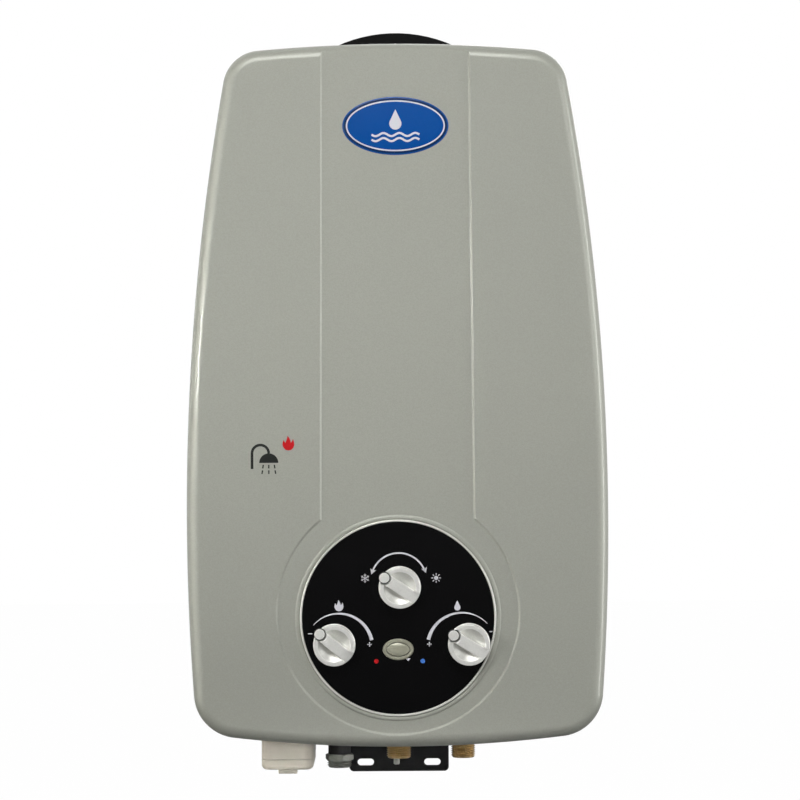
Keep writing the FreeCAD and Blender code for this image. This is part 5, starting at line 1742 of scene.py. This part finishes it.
@dataclass
class Panel:
    """The black round panel, its rings, its knobs and its printed marks.

    A scale is its arc's centre, radius, first and last angle, and first and last width.
    """

    height: float = -490.2
    radius: float = 80.5
    face: float = 150.2
    floor: float = 148.6
    trim: float = 1.7
    trim_rise: float = 0.8
    trim_outside: float = 0.6
    trim_inside: float = 0.45
    surround: float = 3.9
    surround_rise: float = 1.2
    surround_play: float = 0.2
    ring_play: float = 0.05
    ring_steps: int = 256
    dome_steps: int = 16
    season_scale: tuple = (0.7 - 459.3j, 23.4, (158, 22), (1.3, 1.3))
    gas_scale: tuple = (-49.7 - 514.4j, 28.1, (139, 12), (0.4, 3.0))
    water_scale: tuple = (53.4 - 515.0j, 28.9, (167, 43), (3.0, 0.4))
    arrows: tuple = ((-22.2 - 453.6j, 250), (23.5 - 452.6j, 290))
    arrow_size: float = 4.6
    winter: tuple = (-27.5 - 456.9j, 7.5)
    summer: tuple = (32.0 - 456.9j, 8.0)
    gas_flame: tuple = (-49.4 - 479.6j, 9.5)
    water_drop: tuple = (49.6 - 480.0j, 8.5)
    line_width: float = 0.8
    minus_signs: tuple = ((-75.4 - 503.0j, -71.8 - 503.0j), (76.4 - 502.0j, 78.8 - 502.0j))
    plus_signs: tuple = (-24.0 - 512.2j, 26.0 - 512.2j)
    plus_half: float = 1.9
    button_mark: tuple = (8.3 - 526.4j, 10.3 - 523.9j, 6.6 - 524.2j)
    hot_dot: complex = -18.4 - 526.3j
    cold_dot: complex = 20.4 - 526.3j
    dot_radius: float = 1.9

    def rings(self) -> None:
        """Turn the bright ring and the low domed ring round it."""
        place, floor = facing_front(0, self.height), self.floor
        inner, outer = self.radius + self.ring_play, self.radius + self.trim
        top = self.face + self.trim_rise
        profile = [(inner, floor), (outer, floor)]
        profile += [(outer - inward, top - below) for inward, below in quarter(self.trim_outside)]
        inside = reversed(quarter(self.trim_inside))
        profile += [(inner + inward, top - below) for inward, below in inside]
        ring = Form().lathe(profile + [(inner, floor)], self.ring_steps, place)
        ring = ring.finish("trim_ring", sharp=50)
        dress(ring, BRIGHT_RING, Body.CASE, "trim_bright", "panel_trim")
        start, half = outer + self.surround_play, self.surround / 2
        profile = [
            (start + half + half * cos(a), floor + self.surround_rise * sin(a))
            for a in turns(self.dome_steps, pi)
        ]
        profile.append((start + self.surround, floor))
        ring = Form().lathe(profile, self.ring_steps, place).finish("surround_ring", sharp=60)
        dress(ring, COVER_PAINT, Body.CASE, "cover_paint", "panel_surround")

    def marks(self) -> None:
        """Print the scales and the symbols."""
        white, slot = Stencil(self.face), "panel_black"
        white.arc(*self.season_scale)
        for tip, angle in self.arrows:
            white.arrow(tip, angle, self.arrow_size)
        white.arc(*self.gas_scale)
        white.arc(*self.water_scale)
        white.snowflake(*self.winter)
        white.sun(*self.summer)
        white.flame(*self.gas_flame)
        white.drop(*self.water_drop)
        for start, end in self.minus_signs:
            white.line(start, end, self.line_width)
        for middle in self.plus_signs:
            for way in (self.plus_half, self.plus_half * 1j):
                white.line(middle - way, middle + way, self.line_width)
        white.shape(self.button_mark)
        white.finish("printed_marks_white", MARK_WHITE, slot)
        dots = (("hot", MARK_RED, self.hot_dot), ("cold", MARK_BLUE, self.cold_dot))
        for name, ink, spot in dots:
            dot = Stencil(self.face)
            dot.disc(spot, self.dot_radius)
            dot.finish(f"printed_mark_{name}", ink, slot)

    def build(self) -> None:
        """Dress the panel and the button, and make the rings, the marks and the knobs."""
        dress_solid("control_panel", PANEL_BLACK)
        dress_solid("button_bezel", BUTTON_GREY, rounding=0.2)
        dress_solid("push_button", BUTTON_GREY, rounding=0.3)
        self.rings()
        self.marks()
        Knob("gas", Body.GAS, spot=(-53.5, -512.4), angle=140.5).build()
        Knob("water", Body.WATER, spot=(59.2, -512.4), angle=148.0).build()
        Knob("season", Body.SEASON, spot=(1.5, -464.6), angle=146.0).build()


@dataclass
class Badge:
    """Oval badge: enamelled layers with a pale ring between them, and a plain symbol.

    A layer is its name, its finish, how far in it starts, its back's and its face's height over
    the badge's foot, and how far its edge leans in.
    """

    height: float = -78.6
    length: float = 89.0
    width: float = 48.8
    floor: float = 148.6
    steps: int = 128
    layers: tuple = (
        ("badge_rim", BADGE_ENAMEL, 0.0, 0.0, 0.85, 0.6),
        ("badge_band", BADGE_NAVY, 1.0, 0.5, 0.95, 0.1),
        ("badge_line", MARK_WHITE, 3.0, 0.5, 1.0, 0.05),
        ("badge_field", BADGE_ENAMEL, 4.2, 0.5, 1.06, 0.05),
    )
    shoulder: float = 0.6
    shoulder_drop: float = 0.12
    edge_drop: float = 0.03
    edge_width: float = 0.25
    ink: float = 0.08
    drop_rise: float = 5.2
    drop_size: float = 17.0
    wave_drop: float = 7.4
    wave_pitch: float = 4.2
    wave_half: float = 20
    wave_rise: float = 1.3
    wave_length: float = 13.3
    wave_width: float = 1.7
    wave_steps: int = 48

    def oval(self, inset: float, rise: float) -> list[Point]:
        """Give the oval's points.

        Args:
            inset: How far in they lie.
            rise: Their height over the badge's foot.

        Returns:
            The points.
        """
        long, short = self.length / 2 - inset, self.width / 2 - inset
        deep, around = -(self.floor + rise), turns(self.steps, -tau)[:-1]
        return [(long * cos(a), deep, self.height + short * sin(a)) for a in around]

    def build(self) -> None:
        """Build the badge up from its plate, and print its symbol."""
        for name, finish, inset, low, high, slope in self.layers:
            rows, inner = [self.oval(inset, low)], inset + slope
            rows.append(self.oval(inset + slope * self.shoulder, high - self.shoulder_drop))
            rows.append(self.oval(inner, high - self.edge_drop))
            rows.append(self.oval(inner + self.edge_width, high))
            item = Form().layers(rows, Matrix.Identity(4)).finish(name, sharp=60)
            solids = () if inset else ("badge_plate",)
            dress(item, finish, Body.CASE, "badge_blue", *solids)
        symbol = Stencil(self.floor + self.layers[-1][4], self.ink)
        symbol.drop(complex(0, self.height + self.drop_rise), self.drop_size)
        for row in (0, 1):
            middle, points = self.height - self.wave_drop - self.wave_pitch * row, []
            for x in turns(self.wave_steps, 2 * self.wave_half, -self.wave_half):
                wave = self.wave_rise * sin(x * tau / self.wave_length)
                points.append(complex(x, middle + wave))
            symbol.stroke(points, [self.wave_width] * len(points))
        symbol.finish("badge_symbol", MARK_WHITE, "badge_blue")


@dataclass
class CoverPrint:
    """Two plain symbols printed on the cover: a shower and a flame; places are from a middle."""

    face: float = 150.0
    middle: complex = -106.4 - 353.0j
    pipe_foot: complex = -15 - 12j
    pipe_width: float = 2.2
    elbow: complex = -8 + 1j
    elbow_radius: float = 7
    head: complex = -1 - 7j
    head_radius: float = 8
    jets: complex = -1 - 8.6j
    jet_pitch: float = 4.6
    jet_spread: float = 0.14
    jet_fall: float = 3.0
    jet_lean: float = 0.5
    jet_width: float = 1.1
    flame: complex = 15.5 + 9.5j
    flame_size: float = 12.5
    half_turn: int = 20

    def half(self, centre: complex, radius: float, start: float, way: int) -> list[complex]:
        """Give the points of a half circle, from an angle in degrees, one way or the other."""
        angles = turns(self.half_turn, 180 * way, start)
        return [self.middle + centre + rect(radius, radians(a)) for a in angles]

    def build(self) -> None:
        """Print both symbols."""
        dark = Stencil(self.face)
        pipe = [self.middle + self.pipe_foot] + self.half(self.elbow, self.elbow_radius, 180, -1)
        dark.stroke(pipe, [self.pipe_width] * len(pipe))
        dark.shape(self.half(self.head, self.head_radius, 0, 1))
        for row in range(2):
            for column in (-1, 0, 1):
                side = self.jet_pitch * column * (1 + self.jet_spread * row)
                fall = self.jets.imag - self.jet_pitch * row
                top = self.middle + complex(self.jets.real + side, fall)
                end = top + complex(self.jet_lean * column, -self.jet_fall)
                dark.line(top, end, self.jet_width)
        dark.finish("printed_shower", DARK_INK_AND_SHADE, "cover_paint")
        red = Stencil(self.face)
        red.flame(self.middle + self.flame, self.flame_size)
        red.finish("printed_flame", MARK_RED, "cover_paint")


@dataclass
class Fitting:
    """Pipe connection that points down: a bored thread, a turned hexagon and a stem."""

    node: str
    finish: Finish
    slot: str
    spot: Flat
    low: float
    hexagon: Flat
    flats: float
    turn: float
    stem_high: float = -580.0
    stem_sink: float = 0.5
    major: float = 10.48
    pitch: float = 1.814
    depth: float = 1.162
    flank: float = 1.3
    crest: float = 0.15
    chamfer: float = 0.3
    bore: float = 7.4
    bore_depth: float = 12.0
    lip: float = 0.4
    stem: float = 8.5
    corner: float = 1.2
    corner_steps: int = 4
    cone: float = 0.1
    columns: int = 72
    steps: int = 8

    def thread_radius(self, angle: float, height: float) -> float:
        """Give the thread's radius, with its chamfered end.

        Args:
            angle: Angle about the axis, in radians.
            height: Height in the heater.

        Returns:
            The radius.
        """
        part = ((height - self.low) / self.pitch - angle / tau) % 1.0
        groove = min(max(abs(2 * part - 1) * self.flank - self.crest, 0.0), 1.0)
        root = self.major - self.depth
        return min(self.major - self.depth * groove, root - self.chamfer + (height - self.low))

    def hexagon_radius(self, angle: float, inset: float) -> float:
        """Give the hexagon's radius, where a turned cone cuts its corners near its ends.

        Args:
            angle: Angle about the axis, in radians.
            inset: Distance from the hexagon's end.

        Returns:
            The radius.
        """
        way = (angle - radians(self.turn)) % (tau / 6) - tau / 12
        half = self.flats / 2
        return min(half / cos(way), half + self.cone + inset * sqrt(3))

    def row(self, radius: Callable[[float], float], height: float) -> list[Point]:
        """Give one closed row of points."""
        angles = turns(self.columns, start=radians(self.turn))[:-1]
        return [(radius(a) * cos(a), radius(a) * sin(a), height) for a in angles]

    def plain(self, radius: float, height: float) -> list[Point]:
        """Give one round row of points."""
        return self.row(lambda angle: radius, height)

    def build(self) -> None:
        """Make the connection in place of its solid."""
        form, place = Form(), Matrix.Translation((*self.spot, 0))
        low, (base, top) = self.low, self.hexagon
        rows = [self.plain(self.bore, low + self.bore_depth), self.plain(self.bore, low + self.lip)]
        rows.append(self.plain(self.bore + self.lip, low))
        for height in turns(ceil((base - low) / self.pitch * self.steps), base - low, low):
            rows.append(self.row(lambda angle, at=height: self.thread_radius(angle, at), height))
        form.layers(rows, place)
        insets = turns(self.corner_steps, self.corner)
        levels = [(base + inset, inset) for inset in insets]
        levels += [(top - inset, inset) for inset in reversed(insets)]
        rows = []
        for height, inset in levels:
            rows.append(self.row(lambda angle, at=inset: self.hexagon_radius(angle, at), height))
        form.layers(rows, place)
        stem = [self.plain(self.stem, high) for high in (top - self.stem_sink, self.stem_high)]
        form.layers(stem, place)
        item = form.finish(f"{self.node}_fitting", sharp=30)
        dress(item, self.finish, Body.CASE, self.slot, self.node)


@dataclass
class BatteryLid:
    """Tray that closes the battery box from below, with a finger latch and a hinge."""

    left: float = -116.5
    right: float = -72.3
    front: float = -118.0
    rear: float = -44.0
    top: float = -612.3
    low: float = -621.0
    wall: float = 2.0
    corner: float = 8.0
    corner_least: float = 0.6
    rounding: float = 4.2
    edge: float = 0.3
    inner_edge: float = 0.6
    latch_width: float = 16.0
    latch_drop: float = 4.0
    latch_depth: float = 6.0
    latch_edge: float = 0.8
    hinge: Flat = (-41.4, -614.2)
    hinge_radius: float = 2.2
    hinge_half: float = 9.0
    hinge_seat: float = 0.5
    hinge_steps: int = 24
    steps: int = 8

    def outline(self, inset: float, height: float) -> list[Point]:
        """Give the tray's outline, anticlockwise.

        Args:
            inset: How far in it lies.
            height: Its height.

        Returns:
            The points.
        """
        right, left = self.right - self.corner, self.left + self.corner
        rear, front = self.rear - self.corner, self.front + self.corner
        middles = ((right, rear), (left, rear), (left, front), (right, front))
        radius, points = max(self.corner - inset, self.corner_least), []
        for number, middle in enumerate(middles):
            for step in range(self.steps + 1):
                angle = pi / 2 * (number + step / self.steps)
                spot = complex(*middle) + rect(radius, angle)
                points.append((spot.real, spot.imag, height))
        return points

    def build(self) -> None:
        """Make the lid in place of its solid."""
        form, flat = Form(), Matrix.Identity(4)
        wall, floor = self.wall, self.low + self.wall
        rows = [self.outline(wall + self.inner_edge, floor)]
        rows += [self.outline(wall, floor + self.inner_edge), self.outline(wall, self.top)]
        rows += [self.outline(self.edge, self.top), self.outline(0.0, self.top - self.edge)]
        rounded = quarter(self.rounding, self.steps)
        rows += [self.outline(inset, self.low + below) for inset, below in rounded]
        form.layers(rows, flat)
        middle, half = (self.left + self.right) / 2, self.latch_width / 2
        start, depth = self.front + self.corner, self.latch_depth
        box = ((half, 0), (half, depth), (-half, depth), (-half, 0))
        rows = [[(middle + x, start + y, self.low + self.edge) for x, y in box]]
        for inset, below in quarter(self.latch_edge, 3):
            height = self.low - self.latch_drop + below
            near, far = start + inset, start + (depth - inset)
            right, left = middle + half - inset, middle - half + inset
            rows.append([(right, near, height), (right, far, height)])
            rows[-1] += [(left, far, height), (left, near, height)]
        form.layers(rows, flat)
        across = Matrix.Rotation(radians(90), 4, "Y")
        across = Matrix.Translation((middle, *self.hinge)) @ across
        end, radius = self.hinge_half, self.hinge_radius
        barrel = [(0.0, -end), (radius, -end), (radius, end), (0.0, end)]
        form.lathe(barrel, self.hinge_steps, across)
        behind, (axis, high) = self.rear - self.hinge_seat, self.hinge
        right, left = middle + end, middle - end
        tongue = ((right, behind), (right, axis), (left, axis), (left, behind))
        form.layers([[(x, y, high - rise) for x, y in tongue] for rise in (radius, 0.0)], flat)
        item = form.finish("battery_lid_tray", sharp=40)
        dress(item, BEIGE_PLASTIC, Body.BATTERY_COVER, "beige_plastic", "battery_lid")


@dataclass
class Connections:
    """The pipe connections, the floor and the battery box under the cover."""

    gas: tuple = ((-51.0, -80.0), -623.0, (-617.0, -611.5), 21.6, 45.7)
    cold: tuple = ((0.0, -80.0), -615.3, (-597.0, -587.0), 24.0, 0.0)
    hot: tuple = ((55.8, -50.0), -618.6, (-597.0, -587.0), 24.0, 0.0)

    def build(self) -> None:
        """Make the connections and the battery lid, and dress what else is under the cover."""
        Fitting("gas_inlet", CAST_ZINC, "zinc_grey", *self.gas).build()
        Fitting("cold_inlet", TURNED_BRASS, "brass", *self.cold).build()
        Fitting("hot_outlet", TURNED_BRASS, "brass", *self.hot).build()
        dress_solid("gas_sleeve", BLACK_RUBBER, rounding=0.4)
        dress_solid("drain_plug", CAST_ZINC, rounding=0.3)
        dress_solid("lower_bracket", GALVANISED)
        dress_solid("battery_box", BEIGE_PLASTIC, rounding=0.3)
        BatteryLid().build()
        for name in ("front", "rear"):
            dress_solid(f"battery_{name}", CELL_JACKET)


@dataclass
class Works:
    """The valves, the burner, the exchanger and the electrics inside the cover."""

    groups: tuple[tuple[Finish, str, str], ...] = (
        (TURNED_BRASS, "brass", "gas_spindle water_spindle season_spindle"),
        (TURNED_BRASS, "brass", "push_rod gas_valve_disc spring_cap"),
        (VALVE_CASTING, "valve_cast", "gas_valve_body gas_manifold"),
        (VALVE_BRASS, "valve_brass", "water_valve_body diaphragm_cover diaphragm_plate"),
        (BLACK_RUBBER, "rubber_black", "diaphragm"),
        (BARE_COPPER, "copper", "cold_pipe hot_pipe water_coil exchanger_tubes"),
        (BARE_COPPER, "copper", "combustion_chamber fin_pack"),
        (GALVANISED, "galvanised", "burner_bracket exchanger_bracket flue_hood"),
        (STAINLESS, "stainless", "burner_frame burner_bar_1 burner_bar_2 burner_bar_3"),
        (STAINLESS, "stainless", "burner_bar_4 burner_bar_5"),
        (PLATED_STEEL, "steel_small", "button_spring gas_valve_spring switch_lever"),
        (PLATED_STEEL, "steel_small", "overheat_thermostat"),
        (BLACK_PLASTIC, "black_plastic", "button_switch micro_switch igniter_box"),
        (BLACK_PLASTIC, "black_plastic", "solenoid_valve"),
        (CERAMIC, "ceramic", "spark_electrode flame_electrode"),
    )

    def build(self) -> None:
        """Dress the inner solids."""
        for finish, slot, nodes in self.groups:
            for node in nodes.split():
                dress_solid(node, finish)


# ---- studio


CREAM: Colour = (1.0, 0.97, 0.88)


@dataclass(frozen=True)
class Lamp:
    """Soft rectangular lamp, with its places in metres and its beam in degrees."""

    name: str
    spot: Point
    aim: Point
    size: Flat
    power: float
    colour: Colour = (1, 1, 1)
    beam: float = 180.0

    def hang(self) -> None:
        """Put the lamp up."""
        data = bpy.data.lights.new(self.name, "AREA")
        data.spread = radians(self.beam)
        data.shape = "RECTANGLE"
        data.size, data.size_y = self.size
        data.energy = self.power
        data.color = self.colour
        item = bpy.data.objects.new(self.name, data)
        item.location = self.spot
        way = Vector(self.aim) - Vector(self.spot)
        item.rotation_euler = way.to_track_quat("-Z", "Y").to_euler()
        bpy.context.scene.collection.objects.link(item)


@dataclass
class Studio:
    """The camera, the lamps, the floor and the pale surroundings."""

    distance: float = 2500.0
    face_reach: float = 150.2
    look_height: float = -308.0
    look_side: float = 2.6
    frame_width: float = 668.8
    sensor_width: float = 36.0
    clip: Flat = (0.05, 50.0)
    lean: float = 0.32
    floor_height: float = -960.0
    floor_half: float = 4500.0
    floor_front: float = -2400.0
    floor_rear: float = 7000.0
    floor_tones: tuple[Colour, Colour] = ((0.80, 0.80, 0.79), (0.84, 0.84, 0.83))
    floor_grey: Colour = (0.16, 0.16, 0.16)
    floor_seen: Flat = (0.80, 0.99)
    floor_mirrored: Flat = (0.05, 0.99)
    shade_near: float = 0.9
    shade_far: float = 2.0
    behind: Flat = (-0.25, 0.2)
    above: Flat = (-0.15, 0.5)
    above_glow: Flat = (0.02, 0.30)
    ambient: Flat = (-0.6, 0.4)
    ambient_glow: Flat = (0.06, 0.26)
    lamps: tuple[Lamp, ...] = (
        Lamp("key", (-0.3, -2.0, 1.3), (0.0, -0.15, -0.25), (1.3, 1.0), 33.8),
        Lamp("fill", (1.7, -1.8, 0.3), (0.0, -0.15, -0.2), (0.9, 1.0), 7.0),
        Lamp("strip_left", (-1.35, -1.6, -0.3), (0.0, -0.15, -0.3), (0.08, 1.3), 2.0),
        Lamp("strip_right", (1.35, -1.6, -0.3), (0.0, -0.15, -0.3), (0.08, 1.3), 1.8),
        Lamp("middle", (-1.5, -1.6, -0.15), (0.03, -0.15, -0.27), (0.3, 0.2), 0.35, beam=26.0),
        Lamp("edge_right", (1.9, -0.5, -0.25), (0.1, -0.14, -0.25), (0.2, 1.3), 15.0),
        Lamp("edge_left", (-1.3, -0.6, -0.25), (-0.16, -0.13, -0.25), (0.5, 1.4), 5.5, CREAM),
        Lamp("under", (0.1, -1.0, -0.95), (0.0, -0.08, -0.62), (0.7, 0.3), 0.4),
        Lamp("low", (-0.2, -1.9, -0.92), (0.0, -0.08, -0.76), (0.6, 0.04), 0.55, beam=12.0),
        Lamp("rear", (0.6, 1.9, 0.7), (0.0, 0.0, -0.3), (1.4, 1.2), 16.0),
    )

    def camera(self) -> None:
        """Put the camera in front of the heater, level with its middle."""
        data = bpy.data.cameras.new("camera")
        data.sensor_width = self.sensor_width
        data.lens = data.sensor_width * self.distance / self.frame_width
        data.clip_start, data.clip_end = self.clip
        item = bpy.data.objects.new("camera", data)
        away = -self.face_reach - self.distance
        item.location = Vector((self.look_side, away, self.look_height)) * MM
        item.rotation_euler = (radians(90), radians(self.lean), 0)
        bpy.context.scene.collection.objects.link(item)
        bpy.context.scene.camera = item

    def surroundings(self) -> None:
        """Make the world: white behind the heater and where the camera looks, dim in front."""
        world = bpy.data.worlds.new("surroundings")
        bpy.context.scene.world = world
        build = fresh_tree(world)
        way = build.add("ShaderNodeTexCoord").outputs["Generated"]
        part = build.add("ShaderNodeSeparateXYZ", Vector=way)
        behind = build.span(part.outputs[1], *self.behind)
        above = build.span(part.outputs[2], *self.above, *self.above_glow)
        mirrored = build.math("MAXIMUM", behind, above)
        ambient = build.span(part.outputs[2], *self.ambient, *self.ambient_glow)
        rays = build.add("ShaderNodeLightPath").outputs
        glossy = rays["Is Glossy Ray"]
        clear = build.math("MAXIMUM", rays["Is Camera Ray"], rays["Is Transmission Ray"])
        matt = build.math("MULTIPLY", build.math("SUBTRACT", 1.0, glossy), ambient)
        strength = build.math("MAXIMUM", clear, matt)
        strength = build.math("MAXIMUM", strength, build.math("MULTIPLY", glossy, mirrored))
        glow = build.add("ShaderNodeBackground", Color=(1, 1, 1, 1), Strength=strength)
        build.add("ShaderNodeOutputWorld", Surface=glow.outputs[0])

    def pale(self) -> bpy.types.Material:
        """Build the floor's material, which turns white with the distance.

        Returns:
            The material.
        """
        material = bpy.data.materials.new("floor_pale")
        build = fresh_tree(material)
        where = build.add("ShaderNodeTexCoord").outputs["Object"]
        pale = build.mix(build.noise(where, 3.0), *self.floor_tones)
        rays = build.add("ShaderNodeLightPath").outputs
        colour = build.mix(rays["Is Camera Ray"], self.floor_grey, pale)
        matt = build.add("ShaderNodeBsdfDiffuse", Color=colour)
        glow = build.add("ShaderNodeEmission", Color=(1, 1, 1, 1), Strength=1.0)
        away = build.add("ShaderNodeVectorMath", {"operation": "LENGTH"})
        build.feed(away.inputs[0], where)
        away, near, far = away.outputs["Value"], self.shade_near, self.shade_far
        seen = build.span(away, near, far, *self.floor_seen)
        seen = build.math("MULTIPLY", rays["Is Camera Ray"], seen)
        mirrored = build.span(away, near, 2 * far, *self.floor_mirrored)
        mirrored = build.math("MULTIPLY", rays["Is Glossy Ray"], mirrored)
        both = build.add("ShaderNodeMixShader", Fac=build.math("MAXIMUM", seen, mirrored))
        build.feed(both.inputs[1], matt.outputs[0])
        build.feed(both.inputs[2], glow.outputs[0])
        build.add("ShaderNodeOutputMaterial", Surface=both.outputs[0])
        return material

    def floor(self) -> None:
        """Lay a plain pale floor below the heater."""
        form, half = Form(), self.floor_half
        front, rear = self.floor_front, self.floor_rear
        corners = [(-half, front), (half, front), (half, rear), (-half, rear)]
        form.cap(form.ring((x, y, self.floor_height) for x, y in corners))
        item = form.finish("floor")
        item.data.materials.append(self.pale())

    def build(self) -> None:
        """Make the whole studio."""
        self.camera()
        for lamp in self.lamps:
            lamp.hang()
        self.surroundings()
        self.floor()
        bpy.context.scene.view_settings.view_transform = "Standard"


def main() -> None:
    """Build the assemblies in order, then the studio."""
    cabinet = Cabinet(Outline(), Recess())
    for assembly in (cabinet, Panel(), Badge(), CoverPrint(), Connections(), Works(), Studio()):
        LOG.info("assembly %s", type(assembly).__name__)
        assembly.build()


if __name__ == "__main__":
    main()
